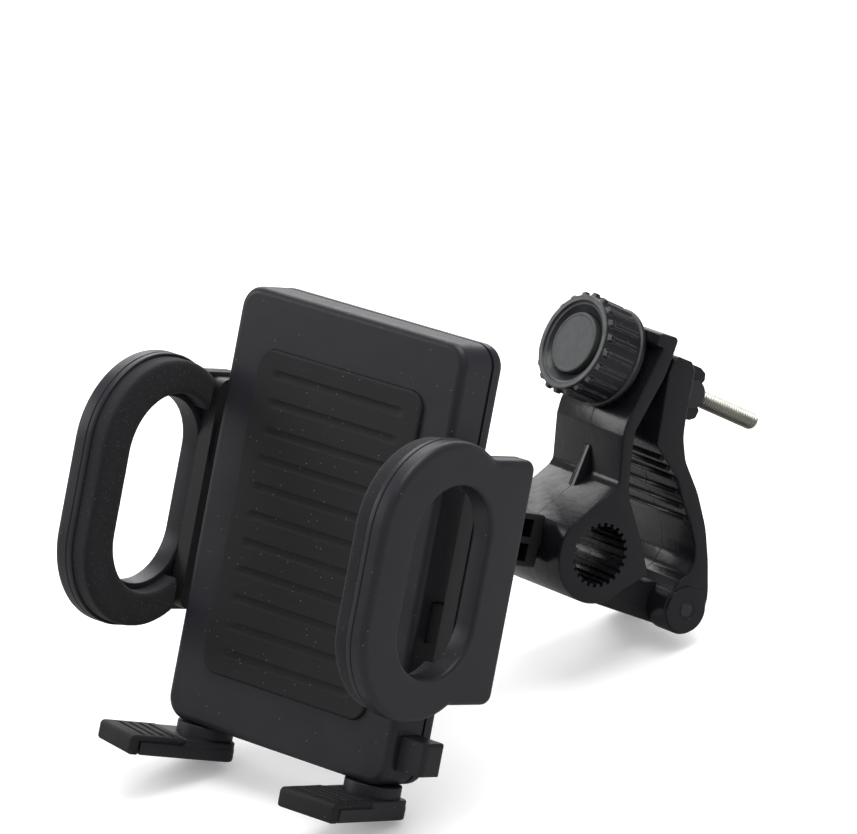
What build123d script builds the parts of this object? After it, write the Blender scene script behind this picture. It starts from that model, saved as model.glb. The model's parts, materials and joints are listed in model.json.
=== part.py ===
from build123d import *
import math
import os

os.makedirs("parts", exist_ok=True)

# Phone cradle on a ball joint with a hinged-jaw handlebar clamp. Millimetres.
# Cradle frame: X across, Y to the back, Z up the cradle, origin at the middle
# of the held phone's front face. Clamp frame: X across the clamp (along the
# bar), Y along the clamp bolt towards its tip, Z up, origin in the middle of
# the accessory socket.

# ---- how the object stands ----
lean = 24.0
stem_length = 47.8
clamp_yaw = -14.2
clamp_pitch = -14.3
bar_uw = (12.1, 12.3)

# ---- phone grip ----
pad_gap = 70.0
pad_thick = 4.8
arm_thick = 5.0
arm_inset = 0.8
arm_front_y = -19.7
arm_back_y = 25.0
arm_mid_z = -27.0
arm_round_h = 59.0
arm_round_r = 19.5
arm_rect_y = 13.5
arm_rect_h = 52.0
hole_w = 23.4
hole_h = 40.6
hole_y = 2.4
travel_in = 3.2
travel_out = 12.5

# ---- housing ----
house_w = 63.0
house_top = 20.0
house_bottom = -74.0
house_y0 = 10.6
seam_y = 19.5
house_y1 = 24.0
wall = 2.0
house_r = 5.0
seam_step = 0.5

# ---- rack and pinion ----
gear_module = 1.0
gear_teeth = 12
pinion_r = gear_module * gear_teeth / 2
rack_y0 = 15.2
rack_thick = 3.8
rack_h = 8.0
slide_gap = 0.3
axle_r = 2.0
axle_gap = 0.05

# ---- button, pawl ----
button_h = 7.2
button_z = -66.1
button_y0 = 13.2
button_y1 = 19.3
button_out = 7.2
button_travel = 2.5
pawl_x = 6.0
pawl_z = -52.0
pawl_pin_r = 1.5

# ---- feet ----
foot_x = 24.0
foot_y = 16.2
foot_w = 14.5
foot_top = -76.6
foot_thick = 4.2
foot_front = -4.0
foot_post_r = 2.6
foot_gap = 0.1
foot_pad_t = 1.2
foot_turn_right = 2.0
foot_turn_left = -20.0

# ---- ball joint ----
ball_r = 8.5
ball_c = (0.0, 34.0, -23.0)
seat_t = 1.25
seat_half = 5.0
ball_gap = 0.05
neck_r = 4.5
cup_r = 12.8
ring_r = 15.2
stem_tilt = 11.5
block_h = 11.6
block_w = 12.4

# ---- clamp ----
clamp_w = 25.0
barrel_r = 10.8
spline_root_r = 7.1
spline_crest_r = 6.35
spline_count = 24
boss_r = 5.2
boss_front = 11.2
hinge_uw = (27.4, -3.7)
hinge_disc_r = 5.6
link_w = 12.0
link_gap = 0.2
pin_r = 1.6
pin_gap = 0.05
bolt_w = 40.0
bolt_r = 2.0
bolt_pitch = 0.7
bolt_tip = 35.5
knob_front = -19.3
knob_back = -7.8
knob_r = 11.0
knob_ribs = 20
washer_r = 3.7
washer_t = 1.2
nut_uw = (13.9, 40.0)
nut_r = 3.1
nut_half = 4.0
cheek_in = 2.5
cheek_t = 1.4
slot_w = 4.8

pad_face = pad_gap / 2
shell_in = pad_face + pad_thick - arm_inset
shell_out = shell_in + arm_thick
half_w = house_w / 2
house_h = house_top - house_bottom
house_mid_z = (house_top + house_bottom) / 2

# ---- frames ----
yaw = math.radians(clamp_yaw)
pitch = math.radians(clamp_pitch)
clamp_x = Vector(math.cos(yaw), math.sin(yaw), 0)
clamp_y = Vector(-math.sin(yaw) * math.cos(pitch), math.cos(yaw) * math.cos(pitch), math.sin(pitch))
clamp_z = clamp_x.cross(clamp_y)
tilt = math.radians(stem_tilt)
stem_y = clamp_y * math.cos(tilt) + clamp_z * math.sin(tilt)
stem_z = clamp_x.cross(stem_y)
ball_v = Vector(*ball_c)
bore_mid = ball_v + stem_y * stem_length
clamp_plane = Plane(origin=bore_mid, x_dir=clamp_x, z_dir=clamp_z)
clamp_at = clamp_plane.location
bar_mid = clamp_plane.from_local_coords((0, bar_uw[0], bar_uw[1]))
stand_at = Location((0, 0, 0), (-lean, 0, 0)) * Location(-Vector(bar_mid))
jaw_at = stand_at * clamp_at


def keep(part, at, name):
    moved = part.moved(at)
    moved.label = name
    export_step(moved, "parts/" + name + ".step")


def mirrored(part):
    return mirror(part, about=Plane.YZ)


# ======================= housing =======================
pad_w = 46.0
pad_h = 70.0
screw_pts = [(s * (half_w - 4.4), z) for s in (-1, 1) for z in (house_top - 7, house_bottom + 17)]
axle_z = arm_mid_z
rack_pitch_z = (axle_z + pinion_r, axle_z - pinion_r)
left_bar_z = rack_pitch_z[0] + 1.25 * gear_module + rack_h / 2
right_bar_z = rack_pitch_z[1] - 1.25 * gear_module - rack_h / 2
front_plane = Plane.XZ.offset(-house_y0)

with BuildPart() as housing_front:
    with BuildSketch(front_plane):
        with Locations((0, house_mid_z)):
            RectangleRounded(house_w, house_h, house_r)
    extrude(amount=-(seam_y - house_y0))
    fillet(housing_front.edges().group_by(Axis.Y)[0], 1.6)
    with BuildSketch(Plane.XZ.offset(-(house_y0 + wall))):
        with Locations((0, house_mid_z)):
            RectangleRounded(house_w - 2 * wall, house_h - 2 * wall, house_r - wall)
    extrude(amount=-(seam_y - house_y0 - wall), mode=Mode.SUBTRACT)
    with BuildSketch(front_plane):
        with Locations((0, arm_mid_z)):
            RectangleRounded(pad_w + 0.2, pad_h + 0.2, 4.1)
    extrude(amount=-0.6, mode=Mode.SUBTRACT)
    with BuildSketch(Plane.XZ.offset(-(house_y0 + wall))):
        with Locations(*screw_pts):
            Circle(3.0)
    extrude(amount=-(seam_y - house_y0 - wall))
    with BuildSketch(Plane.XZ.offset(-(house_y0 + wall))):
        with Locations((0, axle_z)):
            Circle(3.6)
        with Locations((pawl_x, pawl_z)):
            Circle(3.0)
    extrude(amount=-(rack_y0 - house_y0 - wall - 0.3))
    with BuildSketch(Plane.XZ.offset(-seam_y)):
        with Locations(*screw_pts):
            Circle(1.2)
    extrude(amount=6.5, mode=Mode.SUBTRACT)
    with BuildSketch(Plane.XZ.offset(-seam_y)):
        with Locations((0, axle_z)):
            Circle(axle_r)
        with Locations((pawl_x, pawl_z)):
            Circle(pawl_pin_r)
    extrude(amount=seam_y - house_y0 - 1.2, mode=Mode.SUBTRACT)
    with Locations((-half_w, seam_y - 2.4, left_bar_z), (half_w, seam_y - 2.4, right_bar_z)):
        Box(3 * wall, 4.8 + 0.1, rack_h + 2 * slide_gap, mode=Mode.SUBTRACT)
    with Locations((half_w, (button_y0 + seam_y) / 2 - 0.1, button_z)):
        Box(3 * wall, seam_y - button_y0 + 0.2, button_h + 0.3, mode=Mode.SUBTRACT)
    for s in (-1, 1):
        with Locations((s * foot_x, foot_y, house_bottom + 1)):
            Cylinder(foot_post_r + foot_gap, 4 * wall, mode=Mode.SUBTRACT)
    with Locations((-half_w + wall + 1.0, rack_y0 + rack_thick / 2, right_bar_z)):
        Cylinder(1.3, 3.0, rotation=(0, 90, 0))
    with Locations((half_w - wall - 1.0, rack_y0 + rack_thick / 2, left_bar_z)):
        Cylinder(1.3, 3.0, rotation=(0, 90, 0))
    with Locations((14.0, rack_y0 + 1.0, button_z + 2.0)):
        Box(2.0, 2 * (rack_y0 - house_y0 - wall + 1.0), 7.0)
    with Locations((14.0, 17.0, button_z + 2.0)):
        Box(6.0, 4.0, 2.9, mode=Mode.SUBTRACT)
keep(housing_front.part, stand_at, "housing_front")

socket_screw_r = 0.9
socket_pcd = 22.6
socket_pts = [
    (s * socket_pcd / 2 * math.cos(math.pi / 4), t * socket_pcd / 2 * math.sin(math.pi / 4))
    for s in (-1, 1)
    for t in (-1, 1)
]

with BuildPart() as housing_rear:
    with BuildSketch(Plane.XZ.offset(-(seam_y + 0.8))):
        with Locations((0, house_mid_z)):
            RectangleRounded(house_w, house_h, house_r)
    extrude(amount=-(house_y1 - seam_y - 0.8))
    fillet(housing_rear.edges().group_by(Axis.Y)[-1], 2.2)
    with BuildSketch(Plane.XZ.offset(-seam_y)):
        with Locations((0, house_mid_z)):
            RectangleRounded(house_w - 2 * seam_step, house_h - 2 * seam_step, house_r - seam_step)
    extrude(amount=-1.0)
    with BuildSketch(Plane.XZ.offset(-seam_y)):
        with Locations((0, house_mid_z)):
            RectangleRounded(house_w - 2 * wall, house_h - 2 * wall, house_r - wall)
    extrude(amount=-(house_y1 - seam_y - wall), mode=Mode.SUBTRACT)
    with BuildSketch(Plane.XZ.offset(-seam_y)):
        with Locations(*screw_pts):
            Circle(3.0)
        with Locations((0, axle_z)):
            Circle(3.4)
        with Locations((pawl_x, pawl_z)):
            Circle(2.8)
    extrude(amount=-(house_y1 - seam_y - wall))
    with BuildSketch(Plane.XZ.offset(-house_y1)):
        with Locations((ball_c[0], ball_c[2])):
            Circle(15.4)
    extrude(amount=-1.2)
    with BuildSketch(Plane.XZ.offset(-(house_y1 + 1.2))):
        with Locations(*screw_pts):
            Circle(1.5)
        with Locations(*[(ball_c[0] + px, ball_c[2] + pz) for px, pz in socket_pts]):
            Circle(socket_screw_r + 0.05)
    extrude(amount=house_y1 - seam_y + 3, mode=Mode.SUBTRACT)
    with BuildSketch(Plane.XZ.offset(-house_y1)):
        with Locations(*screw_pts):
            Circle(2.6)
    extrude(amount=1.6, mode=Mode.SUBTRACT)
    with BuildSketch(Plane.XZ.offset(-seam_y)):
        with Locations((0, axle_z)):
            Circle(axle_r)
        with Locations((pawl_x, pawl_z)):
            Circle(pawl_pin_r)
    extrude(amount=-1.8, mode=Mode.SUBTRACT)
keep(housing_rear.part, stand_at, "housing_rear")

with BuildPart() as back_pad:
    with BuildSketch(Plane.XZ.offset(-(house_y0 + 0.6))):
        with Locations((0, arm_mid_z)):
            RectangleRounded(pad_w, pad_h, 4.0)
    extrude(amount=1.4)
    with BuildSketch(Plane.XZ.offset(-(house_y0 - 0.8))):
        with Locations(*[(0, arm_mid_z + 6.0 * k) for k in range(-5, 6)]):
            SlotOverall(pad_w - 8, 2.0)
    extrude(amount=-0.5, mode=Mode.SUBTRACT)
keep(back_pad.part, stand_at, "back_pad")

with BuildPart() as housing_screws:
    with BuildSketch(Plane.XZ.offset(-(house_y1 - 1.6))):
        with Locations(*screw_pts):
            Circle(2.4)
    extrude(amount=-1.3)
    with BuildSketch(Plane.XZ.offset(-(house_y1 - 1.6))):
        with Locations(*screw_pts):
            Circle(1.2)
    extrude(amount=house_y1 - seam_y - 1.6 + 6.0)
    with BuildSketch(Plane.XZ.offset(-(house_y1 - 0.3))):
        with Locations(*screw_pts):
            Rectangle(3.2, 0.6)
            Rectangle(0.6, 3.2)
    extrude(amount=0.7, mode=Mode.SUBTRACT)
keep(housing_screws.part, stand_at, "housing_screws")

# ======================= arms =======================
with BuildPart() as arm_right:
    with BuildSketch(Plane.YZ.offset(shell_in)):
        with Locations(((arm_front_y + 20.0) / 2, arm_mid_z)):
            RectangleRounded(20.0 - arm_front_y, arm_round_h, arm_round_r)
        with Locations(((arm_rect_y + 21.0) / 2, arm_mid_z)):
            Rectangle(21.0 - arm_rect_y, arm_round_h + 1, mode=Mode.SUBTRACT)
        with Locations(((4.0 + arm_back_y) / 2, arm_mid_z)):
            RectangleRounded(arm_back_y - 4.0, arm_rect_h, 3.0)
        with Locations((hole_y, arm_mid_z)):
            SlotOverall(hole_h, hole_w, rotation=90, mode=Mode.SUBTRACT)
    extrude(amount=arm_thick)
    fillet(arm_right.edges().group_by(Axis.X)[-1], 1.5)
    with BuildSketch(Plane.YZ.offset(shell_in)):
        with Locations(((arm_front_y + 20.0) / 2, arm_mid_z)):
            RectangleRounded(20.0 - arm_front_y - 1.2, arm_round_h - 1.2, arm_round_r - 0.6)
        with Locations((18.0, arm_mid_z)):
            Rectangle(13.4, arm_round_h + 1, mode=Mode.SUBTRACT)
        with Locations((hole_y, arm_mid_z)):
            SlotOverall(hole_h + 2.4, hole_w + 2.4, rotation=90, mode=Mode.SUBTRACT)
    extrude(amount=arm_inset, mode=Mode.SUBTRACT)
    with BuildSketch(Plane.YZ.offset(shell_in)):
        with Locations((19.3, arm_mid_z + 18.0), (19.3, arm_mid_z - 18.0)):
            Circle(1.3)
    extrude(amount=3.4, mode=Mode.SUBTRACT)
    with Locations((shell_in, 20.2, arm_mid_z + arm_rect_h / 2)):
        Box(2.0, 4.0, 0.6, mode=Mode.SUBTRACT)
arm_left_part = mirrored(arm_right.part)
keep(arm_right.part, stand_at, "arm_right")
keep(arm_left_part, stand_at, "arm_left")

with BuildPart() as arm_pad_right:
    with BuildSketch(Plane.YZ.offset(pad_face)):
        with Locations(((arm_front_y + 20.0) / 2, arm_mid_z)):
            RectangleRounded(20.0 - arm_front_y - 1.4, arm_round_h - 1.4, arm_round_r - 0.7)
        with Locations((18.0, arm_mid_z)):
            Rectangle(13.6, arm_round_h + 1, mode=Mode.SUBTRACT)
        with Locations((hole_y, arm_mid_z)):
            SlotOverall(hole_h + 2.6, hole_w + 2.6, rotation=90, mode=Mode.SUBTRACT)
    extrude(amount=pad_thick)
    fillet(arm_pad_right.edges().group_by(Axis.X)[0], 0.7)
arm_pad_left_part = mirrored(arm_pad_right.part)
keep(arm_pad_right.part, stand_at, "arm_pad_right")
keep(arm_pad_left_part, stand_at, "arm_pad_left")

# ---- racks: a toothed bar, and a flange the arm is screwed to ----
rack_end = -(travel_out + 4.0)
flange_x = half_w + travel_in + 0.8
tooth_pitch = math.pi * gear_module
tooth_top = 0.36 * gear_module
tooth_root = 0.98 * gear_module
rack_tooth_x = [tooth_pitch * (k + 0.5) for k in range(-6, 3)]


def rack_tooth(cx, root, tip):
    return [(cx - tooth_root, root), (cx + tooth_root, root), (cx + tooth_top, tip), (cx - tooth_top, tip)]


right_root = rack_pitch_z[1] - 1.2 * gear_module
right_tip = rack_pitch_z[1] + 0.95 * gear_module
rack_floor = right_bar_z - rack_h / 2

with BuildPart() as rack_right:
    with BuildSketch(Plane.XZ.offset(-rack_y0)):
        with Locations(((rack_end + shell_in) / 2, (right_root + rack_floor) / 2)):
            Rectangle(shell_in - rack_end, right_root - rack_floor)
        for cx in rack_tooth_x:
            with BuildLine():
                Polyline(*rack_tooth(cx, right_root - 0.1, right_tip), close=True)
            make_face()
        for k in range(6):
            with BuildLine():
                x0 = 3.0 + 3.0 * k
                Polyline(
                    (x0, rack_floor - 0.1), (x0, rack_floor + 1.1), (x0 + 2.0, rack_floor - 0.1),
                    close=True,
                )
            make_face(mode=Mode.SUBTRACT)
    extrude(amount=-rack_thick)
    with BuildSketch(Plane.YZ.offset(flange_x)):
        with Locations(((arm_rect_y + 0.3 + seam_y + 4.6) / 2, arm_mid_z)):
            RectangleRounded(seam_y + 4.6 - arm_rect_y - 0.3, arm_rect_h - 2.0, 2.5)
    extrude(amount=shell_in - flange_x)
    with BuildSketch(Plane.YZ.offset(flange_x)):
        with Locations((19.3, arm_mid_z + 18.0), (19.3, arm_mid_z - 18.0)):
            Circle(1.6)
    extrude(amount=shell_in - flange_x, mode=Mode.SUBTRACT)
    with BuildSketch(Plane.YZ.offset(flange_x)):
        with Locations((19.3, arm_mid_z + 18.0), (19.3, arm_mid_z - 18.0)):
            Circle(2.7)
    extrude(amount=1.6, mode=Mode.SUBTRACT)
    with Locations((rack_end, rack_y0 + rack_thick / 2, right_bar_z)):
        Cylinder(1.3, 3.0, rotation=(0, 90, 0))
keep(rack_right.part, stand_at, "rack_right")

left_root = rack_pitch_z[0] + 1.2 * gear_module
left_tip = rack_pitch_z[0] - 0.95 * gear_module
rack_ceiling = left_bar_z + rack_h / 2

with BuildPart() as rack_left:
    with BuildSketch(Plane.XZ.offset(-rack_y0)):
        with Locations((-(rack_end + shell_in) / 2, (left_root + rack_ceiling) / 2)):
            Rectangle(shell_in - rack_end, rack_ceiling - left_root)
        for cx in rack_tooth_x:
            with BuildLine():
                Polyline(*rack_tooth(-cx, left_root + 0.1, left_tip), close=True)
            make_face()
    extrude(amount=-rack_thick)
    with BuildSketch(Plane.YZ.offset(-shell_in)):
        with Locations(((arm_rect_y + 0.3 + seam_y + 4.6) / 2, arm_mid_z)):
            RectangleRounded(seam_y + 4.6 - arm_rect_y - 0.3, arm_rect_h - 2.0, 2.5)
    extrude(amount=shell_in - flange_x)
    with BuildSketch(Plane.YZ.offset(-flange_x)):
        with Locations((19.3, arm_mid_z + 18.0), (19.3, arm_mid_z - 18.0)):
            Circle(1.6)
    extrude(amount=-(shell_in - flange_x), mode=Mode.SUBTRACT)
    with BuildSketch(Plane.YZ.offset(-flange_x)):
        with Locations((19.3, arm_mid_z + 18.0), (19.3, arm_mid_z - 18.0)):
            Circle(2.7)
    extrude(amount=-1.6, mode=Mode.SUBTRACT)
    with Locations((-rack_end, rack_y0 + rack_thick / 2, left_bar_z)):
        Cylinder(1.3, 3.0, rotation=(0, 90, 0))
keep(rack_left.part, stand_at, "rack_left")

with BuildPart() as arm_screws_right:
    with BuildSketch(Plane.YZ.offset(flange_x + 0.2)):
        with Locations((19.3, arm_mid_z + 18.0), (19.3, arm_mid_z - 18.0)):
            Circle(2.5)
    extrude(amount=1.4)
    with BuildSketch(Plane.YZ.offset(flange_x + 1.0)):
        with Locations((19.3, arm_mid_z + 18.0), (19.3, arm_mid_z - 18.0)):
            Circle(1.3)
    extrude(amount=shell_in - flange_x - 1.0 + 3.0)
arm_screws_left_part = mirrored(arm_screws_right.part)
keep(arm_screws_right.part, stand_at, "arm_screws_right")
keep(arm_screws_left_part, stand_at, "arm_screws_left")

# ---- pinion between the two racks ----
with BuildPart() as pinion:
    with BuildSketch(Plane.XZ.offset(-rack_y0)):
        with Locations((0, axle_z)):
            Circle(pinion_r - 1.2 * gear_module)
        for k in range(gear_teeth):
            a0 = math.radians(90 + 360 / gear_teeth * k)
            tooth = []
            for r_t, w_t in ((4.2, 0.90), (5.2, 0.72), (6.0, 0.56), (6.9, 0.28)):
                tooth.append((r_t * gear_module, w_t * gear_module))
            side_a = []
            side_b = []
            for r_t, w_t in tooth:
                ang = w_t / r_t
                side_a.append((r_t * math.cos(a0 - ang), axle_z + r_t * math.sin(a0 - ang)))
                side_b.append((r_t * math.cos(a0 + ang), axle_z + r_t * math.sin(a0 + ang)))
            with BuildLine():
                Polyline(*(side_a + side_b[::-1]), close=True)
            make_face()
        with Locations((0, axle_z)):
            Circle(axle_r + axle_gap, mode=Mode.SUBTRACT)
    extrude(amount=-rack_thick)
keep(pinion.part, stand_at, "pinion")

with BuildPart() as pinion_axle:
    with BuildSketch(Plane.XZ.offset(-(house_y0 + 1.2))):
        with Locations((0, axle_z)):
            Circle(axle_r)
    extrude(amount=-(seam_y + 1.8 - house_y0 - 1.2))
keep(pinion_axle.part, stand_at, "pinion_axle")

# ---- coil springs ----
spring_r = 2.4
wire_r = 0.35
spring_len = half_w - wall + rack_end - 0.1

with BuildPart() as arm_spring_right:
    with BuildLine() as coil_right:
        Helix(1.8, spring_len - 2 * wire_r, spring_r)
    with BuildSketch(Plane(origin=coil_right.line @ 0, z_dir=coil_right.line % 0)):
        Circle(wire_r)
    sweep()
spring_y = rack_y0 + rack_thick / 2
spring_right_at = Location((rack_end - wire_r - 0.02, spring_y, right_bar_z), (0, -90, 0))
spring_left_at = Location((-rack_end + wire_r + 0.02, spring_y, left_bar_z), (0, 90, 0))
keep(arm_spring_right.part, stand_at * spring_right_at, "arm_spring_right")
keep(arm_spring_right.part, stand_at * spring_left_at, "arm_spring_left")

# ======================= button and pawl =======================
button_y = (button_y0 + button_y1) / 2
button_d = button_y1 - button_y0
flange_in = half_w - wall - 0.1

with BuildPart() as release_button:
    with Locations(((flange_in + half_w + button_out) / 2, button_y, button_z)):
        Box(half_w + button_out - flange_in, button_d, button_h)
    fillet(release_button.edges().group_by(Axis.X)[-1], 1.2)
    with Locations((flange_in - 0.7, button_y, button_z + 1.0)):
        Box(1.4, button_d, button_h + 0.8)
    with Locations(((pawl_x + 1.85 + flange_in) / 2, 17.0, button_z + 2.0)):
        Box(flange_in - pawl_x - 1.85, 3.4, 2.4)
keep(release_button.part, stand_at, "release_button")

with BuildPart() as button_spring:
    with BuildLine() as coil_button:
        Helix(1.5, 10.4, 2.5)
    with BuildSketch(Plane(origin=coil_button.line @ 0, z_dir=coil_button.line % 0)):
        Circle(0.28)
    sweep()
button_spring_at = Location((15.35, 17.0, button_z + 2.0), (0, 90, 0))
keep(button_spring.part, stand_at * button_spring_at, "button_spring")

pawl_tip_z = rack_floor - 0.15

with BuildPart() as pawl:
    with BuildSketch(Plane.XZ.offset(-rack_y0)):
        with Locations((pawl_x, pawl_z)):
            Circle(3.2)
        with BuildLine():
            Polyline(
                (pawl_x - 1.5, pawl_z), (pawl_x - 1.5, button_z + 0.4),
                (pawl_x + 1.5, button_z + 0.4), (pawl_x + 1.5, pawl_z),
                close=True,
            )
        make_face()
        with BuildLine():
            Polyline(
                (pawl_x - 1.0, pawl_z + 2.0), (pawl_x + 9.0, pawl_tip_z),
                (pawl_x + 11.2, pawl_tip_z - 1.4), (pawl_x + 2.0, pawl_z - 2.0),
                close=True,
            )
        make_face()
        with Locations((pawl_x, pawl_z)):
            Circle(pawl_pin_r + axle_gap, mode=Mode.SUBTRACT)
    extrude(amount=-rack_thick)
keep(pawl.part, stand_at, "pawl")

with BuildPart() as pawl_pin:
    with BuildSketch(Plane.XZ.offset(-(house_y0 + 1.2))):
        with Locations((pawl_x, pawl_z)):
            Circle(pawl_pin_r)
    extrude(amount=-(seam_y + 1.8 - house_y0 - 1.2))
keep(pawl_pin.part, stand_at, "pawl_pin")

# ======================= feet =======================
# Drawn with the post on the Z axis and the plate pointing to -Y.
foot_len = foot_y - foot_front

with BuildPart() as foot:
    with BuildSketch(Plane.XY.offset(foot_top - foot_thick)):
        with Locations((0, -foot_len / 2 + 2.5)):
            RectangleRounded(foot_w, foot_len + 5.0, 3.0)
    extrude(amount=foot_thick)
    fillet(foot.edges().group_by(Axis.Z)[0], 1.2)
    with BuildSketch(Plane.XY.offset(foot_top)):
        Circle(6.2)
    extrude(amount=house_bottom - foot_top - 0.1)
    with BuildSketch(Plane.XY.offset(foot_top)):
        Circle(foot_post_r)
    extrude(amount=house_bottom + 3.6 - foot_top)
    with BuildSketch(Plane.XY.offset(house_bottom + wall + 0.2)):
        Circle(foot_post_r + 0.5)
        Circle(foot_post_r - 0.8, mode=Mode.SUBTRACT)
    extrude(amount=0.9, mode=Mode.SUBTRACT)
    with BuildSketch(Plane.XY.offset(foot_top)):
        with Locations((0, -foot_len + 6.0)):
            Rectangle(foot_w + 1, 12.0)
    extrude(amount=-foot_pad_t, mode=Mode.SUBTRACT)
    with Locations((0, -foot_len + 0.4, foot_top - foot_thick / 2)):
        Box(foot_w + 1, 1.2, foot_thick + 1, mode=Mode.SUBTRACT)
foot_right_at = Location((foot_x, foot_y, 0), (0, 0, foot_turn_right))
foot_left_at = Location((-foot_x, foot_y, 0), (0, 0, foot_turn_left))
keep(foot.part, stand_at * foot_right_at, "foot_right")
keep(foot.part, stand_at * foot_left_at, "foot_left")

with BuildPart() as foot_pad:
    with BuildSketch(Plane.XY.offset(foot_top - foot_pad_t)):
        with Locations((0, -foot_len + 6.0 - 0.6)):
            RectangleRounded(foot_w, 13.2, 1.0)
    extrude(amount=foot_pad_t)
    with Locations((0, -foot_len - 0.1, foot_top - foot_thick / 2)):
        Box(foot_w, 2.2, foot_thick)
    fillet(foot_pad.edges().filter_by(Axis.X).group_by(Axis.Y)[0], 0.9)
    with BuildSketch(Plane.XY.offset(foot_top - foot_thick - 1)):
        with Locations((0, -foot_len + 6.0)):
            Rectangle(foot_w + 1, 10.0)
    extrude(amount=foot_thick + 1 - foot_pad_t, mode=Mode.SUBTRACT)
keep(foot_pad.part, stand_at * foot_right_at, "foot_pad_right")
keep(foot_pad.part, stand_at * foot_left_at, "foot_pad_left")

with BuildPart() as foot_clip:
    with BuildSketch(Plane.XY.offset(house_bottom + wall + 0.25)):
        Circle(3.5)
        Circle(foot_post_r - 0.75, mode=Mode.SUBTRACT)
        with Locations((0, 2.5)):
            Rectangle(2.6, 5.0, mode=Mode.SUBTRACT)
    extrude(amount=0.8)
keep(foot_clip.part, stand_at * foot_right_at, "foot_clip_right")
keep(foot_clip.part, stand_at * foot_left_at, "foot_clip_left")

# ======================= ball joint =======================
seat_r = ball_r + ball_gap + seat_t
socket_r = seat_r + ball_gap
cup_y0 = house_y1 + 1.2
cup_y1 = ball_c[1] + 2.0
ring_y0 = cup_y0 + 1.5
ring_y1 = ball_c[1] + 7.5
ball_pt = (ball_c[0], ball_c[1], ball_c[2])
cup_plane = Plane.XZ.offset(-cup_y0)

with BuildPart() as socket_cup:
    with BuildSketch(cup_plane):
        with Locations((ball_c[0], ball_c[2])):
            Circle(cup_r)
    extrude(amount=-(cup_y1 - cup_y0))
    with Locations(ball_pt):
        Sphere(socket_r, mode=Mode.SUBTRACT)
    with BuildSketch(cup_plane):
        with Locations(*[(ball_c[0] + px, ball_c[2] + pz) for px, pz in socket_pts]):
            Circle(socket_screw_r)
    extrude(amount=-5.0, mode=Mode.SUBTRACT)
keep(socket_cup.part, stand_at, "socket_cup")

with BuildPart() as socket_screws:
    with BuildSketch(Plane.XZ.offset(-(house_y1 - wall))):
        with Locations(*[(ball_c[0] + px, ball_c[2] + pz) for px, pz in socket_pts]):
            Circle(1.9)
    extrude(amount=1.2)
    with BuildSketch(Plane.XZ.offset(-(house_y1 - wall))):
        with Locations(*[(ball_c[0] + px, ball_c[2] + pz) for px, pz in socket_pts]):
            Circle(socket_screw_r)
    extrude(amount=-(cup_y0 + 5.0 - house_y1 + wall))
keep(socket_screws.part, stand_at, "socket_screws")

ring_ribs = 24

with BuildPart() as ring_nut:
    with BuildSketch(Plane.XZ.offset(-ring_y0)):
        with Locations((ball_c[0], ball_c[2])):
            Circle(ring_r)
    extrude(amount=-(ring_y1 - ring_y0))
    fillet(ring_nut.edges().group_by(Axis.Y)[-1], 1.2)
    with BuildSketch(Plane.XZ.offset(-(ring_y0))):
        with Locations((ball_c[0], ball_c[2])):
            with PolarLocations(ring_r + 0.35, ring_ribs):
                Circle(0.9)
    extrude(amount=-(ring_y1 - ring_y0 - 1.6), mode=Mode.SUBTRACT)
    with BuildSketch(Plane.XZ.offset(-ring_y0)):
        with Locations((ball_c[0], ball_c[2])):
            Circle(cup_r + 0.1)
    extrude(amount=-(cup_y1 + 0.2 - ring_y0), mode=Mode.SUBTRACT)
    with Locations(ball_pt):
        Sphere(socket_r, mode=Mode.SUBTRACT)
    with BuildSketch(Plane.XZ.offset(-cup_y1)):
        with Locations((ball_c[0], ball_c[2])):
            Circle(8.3)
    extrude(amount=-20.0, mode=Mode.SUBTRACT)
    with BuildSketch(Plane.XZ.offset(-(ball_c[1] + 5.3))):
        with Locations((ball_c[0], ball_c[2])):
            Circle(8.3)
    with BuildSketch(Plane.XZ.offset(-(ring_y1 + 0.01))):
        with Locations((ball_c[0], ball_c[2])):
            Circle(10.3)
    loft(mode=Mode.SUBTRACT)
keep(ring_nut.part, stand_at, "ring_nut")

# The stem is drawn in its own frame: Y runs from the ball to the clamp.
stem_plane = Plane(origin=ball_v, x_dir=clamp_x, z_dir=stem_z)
stem_at = stand_at * stem_plane.location
seat_plane = Plane(origin=ball_v, x_dir=clamp_x, z_dir=(0, 0, 1))
seat_at = stand_at * seat_plane.location
pad_y = stem_length - boss_front
block_y0 = 15.0
block_y1 = pad_y - 0.8
rib_half = 0.7
skin = 1.2

with BuildPart() as ball_seat:
    Sphere(seat_r)
    Sphere(ball_r + ball_gap, mode=Mode.SUBTRACT)
    with Locations((0, seat_half + 10, 0), (0, -seat_half - 10, 0)):
        Box(40, 20, 40, mode=Mode.SUBTRACT)
keep(ball_seat.part, seat_at, "ball_seat")

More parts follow.
